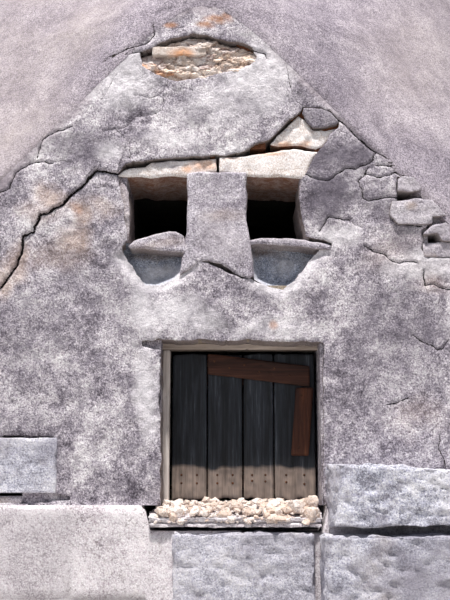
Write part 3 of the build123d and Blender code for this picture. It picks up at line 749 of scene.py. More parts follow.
# Rubble on the sill: chips of cream limestone, fallen from the wall and left lying on the slabs. The
# small ones are strewn, and ten larger ones lie as they tumbled.
rubble_stone = weathered(
    "fresh_limestone_rubble",
    [(0.34, "#a5938a"), (0.44, "#cfc1b9"), (0.54, "#e9dfd9"), (0.66, "#f7f2ee")],
    0.06, 0.012, [(0.006, 0.6, 0.7, 0.8, "#fdf8f2")], 0.85, 0.003,
    [("tint", "#b8977c", 0.6), ("dim", "#8f8078", 0.8)])


def chips(tree, size):
    """Chips of many sizes, most of them small, strewn over the carrier and knocked out of shape."""
    size("Spacing", 0.019)
    size("Smallest", 0.006)
    size("Largest", 0.034)
    size("Roughness", 0.018)
    size("Seed", 7, "NodeSocketInt")
    given = put(tree, "NodeGroupInput")
    spots = put(tree, "GeometryNodeDistributePointsOnFaces", {
        "Mesh": (given, "Geometry"), "Distance Min": (given, "Spacing"), "Density Max": 9000.0,
        "Seed": (given, "Seed")}, distribute_method="POISSON")
    stone = put(tree, "GeometryNodeMeshIcoSphere", {"Radius": 1.0, "Subdivisions": 1})
    share = put(tree, "FunctionNodeRandomValue", {"Seed": (given, "Seed")}, data_type="FLOAT")
    skewed = put(tree, "ShaderNodeMath", {0: (share, 1), 1: 2.6}, operation="POWER")
    width = put(tree, "ShaderNodeMapRange", {0: skewed, 3: (given, "Smallest"), 4: (given, "Largest")})
    shape = put(tree, "FunctionNodeRandomValue", {
        "Min": (0.8, 0.5, 0.35), "Max": (1.3, 1.0, 0.75)}, data_type="FLOAT_VECTOR")
    flat = put(tree, "ShaderNodeVectorMath", {0: (shape, 0), "Scale": width}, operation="SCALE")
    turn = put(tree, "FunctionNodeRandomValue", {
        "Min": (-0.6, -0.6, 0.0), "Max": (0.6, 0.6, 6.28), "Seed": 5}, data_type="FLOAT_VECTOR")
    made = put(tree, "GeometryNodeInstanceOnPoints", {
        "Points": spots, "Instance": stone, "Rotation": (turn, 0), "Scale": flat})
    shade = put(tree, "FunctionNodeRandomValue", {"Seed": 3}, data_type="FLOAT")
    tinted = put(tree, "GeometryNodeStoreNamedAttribute", {
        "Geometry": made, "Name": "tint", "Value": (shade, 1)}, data_type="FLOAT", domain="INSTANCE")
    real = put(tree, "GeometryNodeRealizeInstances", {"Geometry": tinted})
    here = put(tree, "GeometryNodeInputPosition")
    noise = put(tree, "ShaderNodeTexNoise", {"Vector": here, "Scale": 45.0, "Detail": 2.0})
    middle = put(tree, "ShaderNodeVectorMath", {0: (noise, 1), 1: (0.5, 0.5, 0.5)}, operation="SUBTRACT")
    push = put(tree, "ShaderNodeVectorMath", {
        0: (middle, 0), "Scale": (given, "Roughness")}, operation="SCALE")
    return put(tree, "GeometryNodeSetPosition", {"Geometry": real, "Offset": (push, 0)})


# The carrier is a strip that follows the sill's top from its front edge back to the hatch.
STRIP_LEFT = -0.20
STRIP_RIGHT = 0.50
STRIP_STEPS = [(-2.712, 1.128), (-2.690, 1.172), (-2.50, 1.212), (-2.44, 1.212)]
strip = [(x, y, z) for y, z in STRIP_STEPS for x in (STRIP_LEFT, STRIP_RIGHT)]
strip_faces = [(k, k + 1, k + 3, k + 2) for k in (0, 2, 4)]
grow("sill_rubble_chips", strip, strip_faces, chips, rubble_stone, "house")


def tumbled(low, high, seed):
    """Knocks a block out of square and turns it as it fell."""
    random = np.random.default_rng(seed)
    centre = (np.array(low) + high) / 2
    half = (np.array(high) - low) / 2
    turn = random.uniform(-0.9, 0.9)
    roll = random.uniform(-0.45, 0.45)
    slant_x, slant_y = random.uniform(-0.45, 0.45, 2)

    def shape(p):
        x, y, z = (p - centre).T
        taper = 1 - 0.35 * np.clip(z / half[2], 0, 1)
        x, y = (x + slant_x * z) * taper, (y + slant_y * z) * taper
        x, y = x * math.cos(turn) - y * math.sin(turn), x * math.sin(turn) + y * math.cos(turn)
        y, z = y * math.cos(roll) - z * math.sin(roll), y * math.sin(roll) + z * math.cos(roll)
        return np.stack([x, y, z], 1) + centre
    return shape


LOOSE = [
    ((0.442, -2.725, 1.128), (0.512, -2.66, 1.196)), ((0.378, -2.70, 1.160), (0.440, -2.63, 1.226)),
    ((0.265, -2.730, 1.128), (0.400, -2.64, 1.162)), ((0.180, -2.70, 1.150), (0.245, -2.63, 1.190)),
    ((0.060, -2.715, 1.140), (0.130, -2.65, 1.182)), ((-0.05, -2.70, 1.150), (0.02, -2.63, 1.195)),
    ((0.290, -2.66, 1.180), (0.350, -2.59, 1.224)), ((0.455, -2.64, 1.190), (0.515, -2.57, 1.246)),
    ((-0.16, -2.70, 1.140), (-0.08, -2.62, 1.198)), ((0.120, -2.66, 1.180), (0.185, -2.60, 1.216)),
]
for number, (low, high) in enumerate(LOOSE):
    stone = block(f"sill_loose_stone_{number + 1}", low, high, 0.010, 0.007,
                  split_stone(0.009, 0.04, 400 + 7 * number), rubble_stone, "limestone",
                  shape=tumbled(low, high, 460 + number), marks=stone_marks(420 + number))
    faceted(stone)


# Vault and inside of the cone: rings of limestone slabs, each set a little further in, unplastered.
# The rings just behind the vents and the hatch are painted near black, as painted shade inside the
# openings. The core of rubble and red clay shows only in the gaps of the gable's plaster.
vault_stone = weathered(
    "corbelled_limestone_rings",
    [(0.32, "#6f655b"), (0.46, "#8d8174"), (0.6, "#a99d8e"), (0.74, "#bfb4a5")],
    0.30, 0.05, [(0.02, 0.58, 0.7, 0.8, "#cdc3b5")], 0.9, 0.008)
clay_core = weathered(
    "clay_and_rubble_core",
    [(0.38, "#45291d"), (0.5, "#744a35"), (0.62, "#a07356")],
    0.10, 0.03, [(0.02, 0.6, 0.7, 0.8, "#bfa083")], 0.95, 0.008)
vault_stone_painted_shade = weathered(
    "smoke_blackened_limestone",
    [(0.32, "#24221f"), (0.46, "#383532"), (0.6, "#4b4641"), (0.74, "#5f574f")],
    0.30, 0.05, [(0.02, 0.58, 0.7, 0.6, "#6d6359")], 0.95, 0.008)
rings = [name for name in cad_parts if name.startswith(("vault", "hatch_lintel"))]
dress([name for name in rings if "front" in name], vault_stone_painted_shade)
dress([name for name in rings if "front" not in name], vault_stone)
dress(["gable_top"], clay_core)


# Stones round the vents: two lintels, a stone over the right one, an upright slab between the vents
# and a thin sill under each. They are bedded limestone, cream where the plaster has only lately gone.
PLASTER_FRONT = -2.63
METRES_A_PIXEL = 0.0045


def on_wall(places, y=PLASTER_FRONT):
    """Places in the camera's frame, in pixels, carried on to an upright wall at y, as (x, z)."""
    found = []
    for px, py in places:
        side = (px - FRAME_WIDTH / 2) / FOCAL
        up = (FRAME_HEIGHT / 2 - py) / FOCAL
        reach = (y - EYE[1]) / (math.cos(TILT) - up * math.sin(TILT))
        found.append((EYE[0] + side * reach, EYE[2] + (math.sin(TILT) + up * math.cos(TILT)) * reach))
    return found


def distance(x, z, line, closed=False):
    """The distance from each point to a line of points."""
    ends = list(line[1:]) + ([line[0]] if closed else [])
    nearest = np.full(np.shape(x), 99.0)
    for (ax, az), (bx, bz) in zip(line, ends):
        dx, dz = bx - ax, bz - az
        t = np.clip(((x - ax) * dx + (z - az) * dz) / (dx * dx + dz * dz + 1e-12), 0, 1)
        nearest = np.minimum(nearest, np.hypot(x - ax - t * dx, z - az - t * dz))
    return nearest


def within(x, z, shape):
    """True at the points inside a closed shape."""
    found = np.zeros(np.shape(x), bool)
    for (ax, az), (bx, bz) in zip(shape, list(shape[1:]) + [shape[0]]):
        if az != bz:
            found ^= ((az > z) != (bz > z)) & (x < (bx - ax) * (z - az) / (bz - az) + ax)
    return found


def depth_in(x, z, shape):
    """How far inside a closed shape each point is; negative outside."""
    return np.where(within(x, z, shape), 1, -1) * distance(x, z, shape, True)


def blotches(x, z, spots, seed):
    """Soft uneven patches: each spot is its place and two radii in pixels, and a strength."""
    to_side = rugged(x, 0, z, 0.14, seed, 5)
    to_top = rugged(x, 0, z, 0.14, seed + 7, 5)
    total = np.zeros(np.shape(x))
    for px, py, rx, ry, strength in spots:
        (cx, cz), = on_wall([(px, py)])
        sway = min(0.05, 0.0032 * min(rx, ry))
        across = (x + sway * to_side - cx) / (rx * METRES_A_PIXEL)
        upward = (z + sway * to_top - cz) / (ry * METRES_A_PIXEL)
        total = np.maximum(total, strength * np.clip(1.5 - np.hypot(across, upward), 0, 1))
    return np.clip(total, 0, 1)


def with_rim(points, faces, marks, back, steps, rough, seed):
    """Drops unused points and runs a rim from every open edge to the depth back, in steps."""
    used, faces = np.unique(faces, return_inverse=True)
    faces = faces.reshape(-1, 4)
    points = points[used]
    marks = {k: np.asarray(v)[used] for k, v in marks.items()}
    edges = np.stack([faces, np.roll(faces, -1, 1)], 2).reshape(-1, 2)
    order = np.sort(edges, 1)
    codes = order[:, 0] * len(points) + order[:, 1]
    _, first, count = np.unique(codes, return_index=True, return_counts=True)
    ring, ends = np.unique(edges[first[count == 1]], return_inverse=True)
    ends = ends.reshape(-1, 2)
    start, base, n = points[ring], len(points), len(ring)
    layers, new_faces = [points], [faces]
    for s in range(steps + 1):
        level = start.copy()
        level[:, 1] = start[:, 1] + (back - start[:, 1]) * s / steps
        if rough and s:
            level[:, 0] += rough * rugged(level[:, 0], level[:, 1], level[:, 2], 0.08, seed)
            level[:, 2] += rough * rugged(level[:, 0], level[:, 1], level[:, 2], 0.08, seed + 9)
        layers.append(level)
    for s in range(steps):
        a, b = base + s * n + ends[:, 0], base + s * n + ends[:, 1]
        new_faces.append(np.stack([b, a, a + n, b + n], 1))
    marks = {k: np.concatenate([v] + [v[ring]] * (steps + 1)) for k, v in marks.items()}
    fading = 1 - 0.12 * np.linspace(0, 1, steps + 1)
    marks["rim"] = np.concatenate([np.zeros(len(points)), np.repeat(fading, n)])
    return np.concatenate(layers), np.concatenate(new_faces), marks


def traced_plate(name, outline, front, back, cell, look, material, slot, holes=(), ragged=0.003, steps=1,
                 rough=0.0, seed=1, columns=None, rows=None, replaced=(), joined=False):
    """A plate with a traced outline, an uneven face towards -Y from look(x, z, edge), and a rim behind
    it. edge is the distance from the nearest broken edge; a joined plate has none along its outline."""
    if columns is None:
        columns = np.arange(min(p[0] for p in outline) - cell, max(p[0] for p in outline) + cell, cell)
        rows = np.arange(min(p[1] for p in outline) - cell, max(p[1] for p in outline) + cell, cell)
    x, z = np.meshgrid(columns, rows)
    wx = x + ragged * rugged(x, 0, z, 0.05, seed + 20, 3)
    wz = z + ragged * rugged(x, 0, z, 0.05, seed + 30, 3)
    inner = depth_in(x, z, outline) if joined else depth_in(wx, wz, outline)
    broken = np.full(x.shape, 9.0) if joined else inner
    for hole in holes:
        beside = -depth_in(wx, wz, hole)
        inner = np.minimum(inner, beside)
        broken = np.minimum(broken, beside)
    wide = np.gradient(columns)[None, :] + np.zeros_like(x)
    tall = np.gradient(rows)[:, None] + np.zeros_like(x)
    gx = np.gradient(inner, columns, axis=1)
    gz = np.gradient(inner, rows, axis=0)
    length = np.maximum(np.hypot(gx, gz), 0.6)
    near = np.abs(inner) < 0.62 * np.maximum(wide, tall)
    x = np.where(near, x - inner * gx / length ** 2, x)
    z = np.where(near, z - inner * gz / length ** 2, z)
    solid = near | (inner > 0)
    keep = solid[:-1, :-1] & solid[1:, :-1] & solid[:-1, 1:] & solid[1:, 1:]
    keep &= (inner[:-1, :-1] + inner[1:, :-1] + inner[:-1, 1:] + inner[1:, 1:]) > 0
    out, marks = look(x, z, np.where(near & (broken < 0.02), 0, np.maximum(broken, 0)))
    points = np.stack([x, front - out, z], 2).reshape(-1, 3)
    marks = {k: np.broadcast_to(v, x.shape).reshape(-1) for k, v in marks.items()}
    made = with_rim(points, grid_faces(len(rows), len(columns), keep), marks, back, steps, rough, seed)
    return mesh_piece(name, *made, material, slot, "house", replaced)


def stone_face(deep, size, seed, edge_radius=0.008, **spots):
    """The look of a stone's face: lumps, a rounded edge, and named patches."""
    def look(x, z, edge):
        out = -deep * lumpy(x, 0, z, size, seed) - rounded(edge, edge_radius)
        out = out - 0.3 * deep * np.clip(rugged(x, 3, z, 0.03, seed + 5, 3), 0, 1)
        marks = {}
        for k, (key, patches) in enumerate(spots.items()):
            marks[key] = blotches(x, z, patches, seed + 11 * k)
        return out, marks
    return look


# Cream limestone, freshly bared: dull, bright, with ochre stains from the clay and grey old skin.
# Its near-black mark, laid under the plaster's lip at the tip, is painted shadow.
bared_limestone = weathered(
    "bared_cream_limestone",
    [(0.36, "#b5a59b"), (0.44, "#d3c9c4"), (0.52, "#e0d9d7"), (0.62, "#ece9e9")],
    0.12, 0.028, [(0.010, 0.42, 0.33, 0.5, "#a98f7c")], 0.85, 0.005,
    [("grey", "#a29ea5", 0.95), ("cream", "#e6cbb4", 0.75), ("dun", "#ab998c", 0.9),
     ("ochre", "#cf9467", 0.85), ("clay", "#74493a", 0.9), ("grime", "#2b2423", 0.95),
     ("rim", "#744529", 0.95)],
)
LEFT_LINTEL = [
    (117, 176), (122, 170), (129, 167), (145, 166), (152, 161.5), (166, 160), (180, 160), (200, 159),
    (216, 158), (217, 172), (200, 174), (186, 176), (170, 175), (150, 177), (133, 176),
]
RIGHT_LINTEL = [
    (219, 157), (232, 156), (246, 154.5), (268, 152), (282, 149), (293, 148), (306, 149.5), (318, 151),
    (313, 158), (309, 170), (306, 178), (290, 177), (268, 176), (248, 176), (236, 174), (219, 172),
]
UPPER_STONE = [
    (270, 144), (277, 135), (285, 127), (292, 120), (299, 115), (305, 119), (313, 129), (326, 130),
    (340, 127), (334, 134), (325, 144), (317, 148), (304, 145), (289, 144),
]
VENT_STONES = [
    ("left_vent_lintel", "vent_lintel_left", LEFT_LINTEL, -2.626, 26, 0.008, 51, stone_face(
        0.010, 0.10, 501, grey=[(165, 163, 12, 4, 0.7), (172, 168, 6, 4, 0.7)],
        ochre=[(202, 165, 14, 6, 0.7), (186, 168, 5, 4, 0.8)])),
    ("right_vent_lintel", "vent_lintel_right", RIGHT_LINTEL, -2.626, 26, 0.008, 52, stone_face(
        0.008, 0.14, 511, grey=[(225, 168, 4, 5, 0.5)],
        ochre=[(270, 153, 12, 2, 0.8), (230, 158, 6, 2, 0.6)])),
    ("stone_over_right_lintel", "upper_stone", UPPER_STONE, -2.624, 4, 0.004, 53, stone_face(
        0.014, 0.07, 521, ochre=[(285, 142, 8, 3, 0.8), (305, 143, 8, 3, 0.7)],
        grey=[(335, 130, 5, 3, 0.8)])),
]
for name, node, places, front, steps, rough, seed, look in VENT_STONES:
    traced_plate(name, on_wall(places), front, WALL_BACK, 0.006, look, bared_limestone, "limestone",
                 steps=steps, rough=rough, seed=seed, replaced=(node,))


# Old grey skin on limestone that has stood bare for long: lilac-grey, with white grains.
skinned_limestone = weathered(
    "grey_skinned_limestone",
    [(0.38, "#645e68"), (0.45, "#908993"), (0.51, "#aea8b1"), (0.57, "#c4bec5"), (0.65, "#dcd7da")],
    0.13, 0.030, [(0.012, 0.58, 0.68, 0.8, "#ebe6e6"), (0.010, 0.44, 0.34, 0.8, "#544c55")], 0.88, 0.009,
    [("pale", "#bdb6bb", 0.6), ("dim", "#7d7580", 0.75), ("warm", "#a08c7c", 0.8), ("rust", "#8a5a40", 0.85),
     ("rim", "#8d8078", 0.6)],
)
PILLAR = [
    (187, 174), (200, 172.5), (230, 172.5), (246, 173), (246.5, 200), (247, 224), (250, 238),
    (251.5, 255), (254, 272), (254.5, 277), (246, 278), (236, 274), (229, 269), (219, 264), (209, 261.5),
    (200, 262), (190, 268), (180, 274), (182, 262), (184.5, 250), (186.5, 232), (187.5, 205),
]
LEFT_SILL = [
    (128, 246), (133, 241), (146, 236.5), (158, 232.5), (168, 230.5), (176, 231), (183, 235), (186, 242),
    (186, 252), (175, 250.5), (160, 249.5), (145, 248), (130, 248.5),
]
RIGHT_SILL = [
    (250, 239), (262, 237.5), (278, 237.5), (292, 238), (305, 239.5), (318, 242), (331, 245.5),
    (330, 249), (315, 248), (300, 246), (285, 244.5), (270, 243.5), (251, 243.5),
]
SKINNED_FRONT = -2.645
INNER_BACK = -2.30
traced_plate("vent_pillar_slab", on_wall(PILLAR), SKINNED_FRONT, WALL_BACK, 0.006, stone_face(
    0.010, 0.13, 531, dim=[(212, 186, 22, 16, 0.6), (240, 200, 8, 26, 0.3)],
    pale=[(225, 240, 24, 26, 0.8)], warm=[(225, 215, 20, 6, 0.4)]),
    skinned_limestone, "limestone", steps=26, rough=0.006, seed=54, replaced=("vent_pillar",))
# The pale strips along each sill's top edge are painted sunlight on that edge.
VENT_SILLS = [
    ("left_vent_sill_slab", "vent_sill_left", LEFT_SILL, 0.005, 55, stone_face(
        0.006, 0.08, 541, pale=[(148, 236, 20, 2.2, 1.0), (170, 232, 12, 2, 1.0)],
        warm=[(158, 244, 24, 5, 0.45)])),
    ("right_vent_sill_slab", "vent_sill_right", RIGHT_SILL, 0.004, 56, stone_face(
        0.005, 0.08, 551, pale=[(265, 239, 16, 3, 1.0), (300, 241, 30, 3, 1.0)])),
]
for name, node, places, rough, seed, look in VENT_SILLS:
    traced_plate(name, on_wall(places, SKINNED_FRONT), SKINNED_FRONT, INNER_BACK, 0.005, look,
                 skinned_limestone, "limestone", steps=22, rough=rough, seed=seed, replaced=(node,))


# Broken-out hollows under the sills: the plaster has fallen, with some of the rubble behind it, and
# left smooth scars. Their blue-grey tones paint the sky-lit shade in the hollows, their rust tops paint
# the sills' shadow, and their pale lower patches paint sunlight. The apron below the vents carries both.
def bowl(name, outline, front, deep, look_seed, material, marks, replaced=()):
    """A hollow that starts at a traced outline and sinks back, steeply under its top and softly below."""
    shape = np.array(outline)
    ends = np.roll(shape, -1, 0)
    along = np.linspace(0, 1, 14, endpoint=False)[None, :, None]
    ring = (shape[:, None] * (1 - along) + ends[:, None] * along).reshape(-1, 2)
    centre = shape.mean(0)
    steps = 1 - np.linspace(0, 1, 30)[:, None, None] ** 0.8
    grid = centre + (ring[None] - centre) * steps
    x, z = grid[..., 0], grid[..., 1]
    inset = 1 - steps[..., 0] + 0 * x
    height = (z - shape[:, 1].min()) / np.ptp(shape[:, 1])
    reached = np.clip(inset / (0.16 + 0.5 * (1 - height)), 0, 1)
    sink = deep * (0.35 + 0.65 * height) * (1 - (1 - reached) ** 2)
    y = front + sink + 0.008 * rugged(x, 0, z, 0.08, look_seed, 4) * np.clip(inset / 0.1, 0, 1)
    points = np.stack([x, y, z], 2).reshape(-1, 3)
    faces = ring_faces(len(steps), len(ring))
    if np.sum(shape[:, 0] * ends[:, 1] - ends[:, 0] * shape[:, 1]) < 0:
        faces = faces[:, ::-1]
    given = {k: blotches(x, z, spots, look_seed + 3).reshape(-1) for k, spots in marks.items()}
    given["coat"] = (np.exp(-inset / 0.12) * np.clip(1.3 - 1.6 * height, 0, 1)).reshape(-1)
    return mesh_piece(name, points, faces, given, material, "plastered_masonry", "house", replaced)


scar_plaster_painted_shade = weathered(
    "scarred_masonry_painted_shade",
    [(0.36, "#565c6b"), (0.44, "#828999"), (0.52, "#a3aaba"), (0.60, "#bcc2cd"), (0.70, "#d2d4da")],
    0.10, 0.03, [(0.012, 0.44, 0.33, 0.8, "#3f424b"), (0.016, 0.58, 0.68, 0.7, "#d8d6d6")], 0.9, 0.009,
    [("pale", "#d9d8dc", 0.9), ("rust", "#75604f", 0.8), ("coat", "#cfcad0", 0.95)])
LEFT_HOLLOW = [
    (120, 244), (187, 244), (187, 256), (184, 268), (176, 279), (160, 288), (144, 288), (135, 279),
    (125, 264), (119, 252),
]
RIGHT_HOLLOW = [
    (249, 240), (331, 244), (323, 254), (301, 275), (296, 284), (284, 292), (268, 288), (254, 280),
    (251, 262),
]
# In each hollow the rust patch under the sill is painted shadow, and the pale patch lower down is painted
# sunlight.
LEFT_HOLLOW_PAINTED_LIGHT = {"rust": [(152, 252, 26, 4, 0.7)], "pale": [(152, 272, 22, 9, 0.8)]}
RIGHT_HOLLOW_PAINTED_LIGHT = {"rust": [(262, 250, 16, 6, 0.8)], "pale": [(281, 262, 8, 9, 0.5), (305, 262, 8, 8, 0.4)]}
# What lies behind the plaster's broken edge is traced on an upright plane behind the plaster's front.
TRACED_AT = -2.60
BROKEN_FRONT = -2.612
HOLLOWS = [("left_hollow_under_sill", LEFT_HOLLOW, 601, LEFT_HOLLOW_PAINTED_LIGHT, ("vent_apron",)),
           ("right_hollow_under_sill", RIGHT_HOLLOW, 611, RIGHT_HOLLOW_PAINTED_LIGHT, ())]
for name, places, seed, scars, replaced in HOLLOWS:
    bowl(name, on_wall(places, TRACED_AT), BROKEN_FRONT, 0.120, seed, scar_plaster_painted_shade, scars, replaced)


# Gable plaster: lime plaster some 30 mm thick, trowelled over the rubble, then weathered for decades
# until it turned mottled grey and lilac, cracked, and fell off round the vents and at the tip.
gable_plaster = weathered(
    "weathered_lime_plaster",
    [(0.40, "#524c55"), (0.46, "#8b848e"), (0.51, "#b3acb4"), (0.555, "#cfc9ce"), (0.62, "#eae6e8")],
    0.17, 0.036, [PALE_FLECKS, DARK_FLECKS, LICHEN], 0.9, 0.016,
    # The rim mark darkens the coat's broken edges as painted shade.
    [("cone", "#ada2a9", 0.7), ("warm", "#c0a796", 0.62), ("pale", "#e9e5e9", 0.85),
     ("dim", "#605a65", 0.95), ("rust", "#b07a50", 0.8), ("rim", "#7d7068", 0.85)],
    cracks="#1c1716",
)
dress(["gable_left", "gable_right"], gable_plaster)
main_crack = on_wall([
    (0, 287), (11, 273), (21, 254), (22, 246), (23, 236), (34, 231), (41, 215), (53, 211), (64, 204),
    (72, 193), (86, 185), (91, 176), (97, 170), (108, 173), (117, 174),
])
edge_crack = on_wall([(338, 119), (345, 125), (353, 132), (363, 142), (374, 151), (381, 154), (389, 159)])
patch_cracks = [on_wall(line) for line in (
    [(303, 174), (316, 179), (328, 181), (336, 175), (346, 169), (354, 169), (363, 165), (373, 161),
     (376, 153)],
    [(376, 165), (392, 166)],
    [(368, 167), (366, 173), (372, 176), (381, 178), (390, 175), (394, 173)],
    [(365, 173), (359, 181), (362, 190), (363, 198), (368, 201), (377, 199), (385, 197), (398, 198)],
    [(393, 172), (403, 175), (414, 178)],
    [(365, 246), (375, 252), (384, 254), (392, 260), (399, 263), (408, 261), (417, 263)],
    [(391, 209), (391, 216), (397, 223), (408, 225), (422, 226)],
    [(320, 231), (324, 224), (328, 217), (335, 219), (350, 219)],
    [(424, 271), (425, 285), (434, 283), (441, 287), (452, 290)],
    [(413, 335), (423, 341), (431, 344), (437, 349), (442, 349), (449, 341)],
    [(440, 434), (439, 448), (443, 456), (446, 466), (442, 478)], [(388, 404), (396, 403), (408, 398)],
    [(37, 158), (41, 144), (48, 136), (59, 131), (72, 127)],
    [(0, 192), (10, 188), (10, 184), (17, 172), (30, 164), (45, 161), (53, 164)],
    [(104, 61), (116, 55), (128, 48), (145, 44), (154, 36), (153, 25)],
    [(108, 57), (119, 53), (130, 53), (143, 52)], [(250, 48), (256, 52), (264, 53), (268, 58)],
)]
fine_cracks = [on_wall(line) for line in (
    [(135, 95), (150, 98), (159, 95), (167, 85), (168, 78)],
    [(163, 96), (163, 110), (151, 114), (135, 117), (129, 125), (116, 130), (104, 132)],
    [(117, 131), (129, 142), (130, 158)],
    [(350, 221), (355, 224), (363, 227)], [(53, 164), (62, 161), (70, 162)],
    [(3, 449), (19, 448), (25, 445), (32, 445)], [(0, 435), (12, 436), (27, 434)], [(56, 213), (53, 222)],
    [(286, 66), (290, 84), (294, 98), (302, 107)], [(100, 100), (107, 92), (116, 74)],
    [(96, 189), (106, 186)],
)]
vent_hole = on_wall([
    (117, 174.5), (124, 165), (130, 163), (148, 160.5), (160, 158.5), (179, 157.5), (199, 156.5),
    (225, 155), (239, 153.5), (247, 149), (257, 143), (270, 139.5), (281, 129), (289, 120), (301, 110.5),
    (304, 107), (321, 106.5), (331, 112), (339, 120), (338, 128), (331, 134), (326, 142), (319, 150),
    (313, 158), (308, 171), (301, 178), (299.5, 195), (302, 215), (306, 236), (318, 239), (332, 243),
    (332, 248), (320, 249), (299, 273), (294, 282), (282, 290), (266, 285), (256, 281), (249, 279),
    (241, 279), (229, 273), (215, 265), (200, 261), (186, 268), (175, 277), (160, 285), (146, 284),
    (137, 275), (130, 264), (122, 252), (121, 247), (128, 241), (124, 214), (122, 194), (118, 180),
])
hatch_hole = on_wall([
    (142, 340), (152, 341), (160, 339.5), (180, 341), (200, 339.5), (222, 341), (250, 339), (280, 341),
    (300, 340.5), (324, 342), (324, 360), (323, 400), (324, 440), (323, 480), (324, 540), (160, 540),
    (161, 440), (159, 400), (161, 350), (142, 346),
])
crown_hole = on_wall([
    (141, 52), (156, 46.5), (165, 43), (172, 40), (183, 37), (193, 34), (209, 36), (225, 42), (243, 44),
    (252, 49), (257, 58), (250, 66), (235, 70), (217, 74), (206, 77), (190, 79), (176, 80), (163, 78),
    (152, 72), (141, 64),
])
right_hole = on_wall([
    (396, 184), (398, 177), (414, 176), (424, 184), (430, 197), (444, 207), (456, 216), (474, 236),
    (484, 266), (456, 258), (428, 257), (423, 250), (422, 240), (423, 230), (431, 224), (410, 224.5),
    (399, 224), (391, 217), (391, 209), (398, 199),
])
left_hole = on_wall([
    (-190, 435.5), (-60, 435), (40, 435.5), (55, 437), (50, 450), (54, 466), (49, 484), (56, 493),
    (68, 496), (70, 500), (48, 503), (-190, 502),
])
GABLE_TIP = 3.54


def gable_half_width(z):
    """Half the gable's width at a height: a rounded tip over almost straight sides."""
    drop = np.maximum(GABLE_TIP - z, 0)
    return np.minimum(np.sqrt(0.30 * drop + 0.83 * drop * drop), 2.25)


gable_heights = DRUM_TOP + (GABLE_TIP - DRUM_TOP) * (1 - (1 - np.arange(40) / 40) ** 2)
gable_outline = [(float(gable_half_width(z)) + 0.002, float(z)) for z in gable_heights]
gable_outline = gable_outline + [(0.0, GABLE_TIP + 0.01)] + [(-x, z) for x, z in reversed(gable_outline)]

PALE_SPOTS = [
    (125, 80, 26, 30, 0.9), (255, 75, 34, 26, 0.95), (215, 110, 40, 20, 0.5), (130, 55, 26, 9, 0.8),
    (255, 100, 34, 22, 0.7), (90, 85, 8, 10, 0.9), (110, 150, 14, 9, 0.8), (170, 140, 22, 8, 0.7),
    (147, 308, 12, 28, 1.0), (176, 312, 22, 20, 0.9), (205, 322, 24, 10, 0.6), (340, 235, 18, 10, 0.9),
    (420, 265, 30, 9, 0.8), (270, 328, 40, 7, 0.5), (145, 390, 9, 45, 1.0), (430, 255, 20, 6, 1.0),
]
WARM_SPOTS = [
    (52, 199, 16, 12, 0.9), (79, 215, 9, 14, 0.9), (40, 215, 22, 9, 0.5), (20, 262, 14, 16, 0.8),
    (74, 238, 18, 12, 0.9), (230, 240, 22, 22, 0.4), (8, 285, 14, 16, 0.9), (390, 250, 24, 20, 0.3),
    (100, 208, 14, 12, 0.6), (430, 275, 20, 14, 0.5), (415, 410, 30, 20, 0.3), (60, 250, 30, 14, 0.5),
]
DIM_SPOTS = [
    (75, 150, 34, 18, 0.8), (350, 160, 22, 20, 0.9), (340, 200, 22, 16, 0.7), (200, 115, 14, 8, 0.5),
    (30, 330, 40, 30, 0.35), (120, 300, 30, 30, 0.3), (400, 330, 40, 50, 0.45), (380, 200, 18, 14, 0.7),
    (240, 105, 20, 8, 0.4), (70, 280, 30, 20, 0.35), (410, 240, 18, 12, 0.6), (30, 400, 40, 40, 0.15),
    (322, 155, 20, 20, 1.0), (335, 195, 26, 24, 1.0), (250, 298, 20, 8, 0.3), (360, 360, 24, 40, 0.35),
    (245, 38, 18, 10, 0.5),
]
RUST_SPOTS = [
    (204, 26, 9, 4, 1.0), (217, 20, 14, 4, 1.0), (228, 18, 6, 4, 0.9), (170, 26, 7, 3, 0.9),
    (273, 326, 5, 4, 0.9), (74, 212, 5, 7, 0.6),
]
HOLLOW_FEET = [
    on_wall([(121, 258), (130, 270), (140, 281), (150, 286), (162, 286), (176, 278), (186, 268)]),
    on_wall([(256, 281), (266, 286), (282, 291), (295, 283), (305, 268), (322, 250)]),
]
CROWN_LIP = crown_hole[:10]
CRACKS = [([main_crack], 0.0046, 0.018), ([edge_crack], 0.0036, 0.012),
          (patch_cracks, 0.0026, 0.008), (fine_cracks, 0.0014, 0.004)]


def crack_shape(x, z):
    """How deep the cracks cut, and how near each point is to one, on which side and how wide it is."""
    wx = x + 0.004 * rugged(x, 0, z, 0.03, 61, 3)
    wz = z + 0.004 * rugged(x, 0, z, 0.03, 71, 3)
    near = np.full(x.shape, 9.0)
    side, width, deep = np.zeros((3,) + x.shape)
    for lines, half_width, depth in CRACKS:
        away = np.full(x.shape, 9.0)
        for line in lines:
            for (ax, az), (bx, bz) in zip(line, line[1:]):
                dx, dz = bx - ax, bz - az
                t = np.clip(((wx - ax) * dx + (wz - az) * dz) / (dx * dx + dz * dz), 0, 1)
                here = np.hypot(wx - ax - t * dx, wz - az - t * dz)
                away = np.minimum(away, here)
                side = np.where(here < near, np.sign((wx - ax) * dz - (wz - az) * dx), side)
                width = np.where(here < near, half_width, width)
                near = np.minimum(near, here)
        deep = np.maximum(deep, depth * np.exp(-(away / 0.006) ** 2))
    close = np.minimum(near, 0.03)
    return deep, {"crack_side": side * close, "crack_near": close, "crack_width": width}


def plaster_swell(x, z):
    """The trowelled coat's own waves, from the sweep of an arm down to grit."""
    out = 0.007 * rugged(x, 0, z, 0.45, 41, 3) + 0.0045 * rugged(x, 0, z, 0.11, 45, 3)
    return out + 0.0024 * rugged(x, 0, z, 0.028, 49, 2)


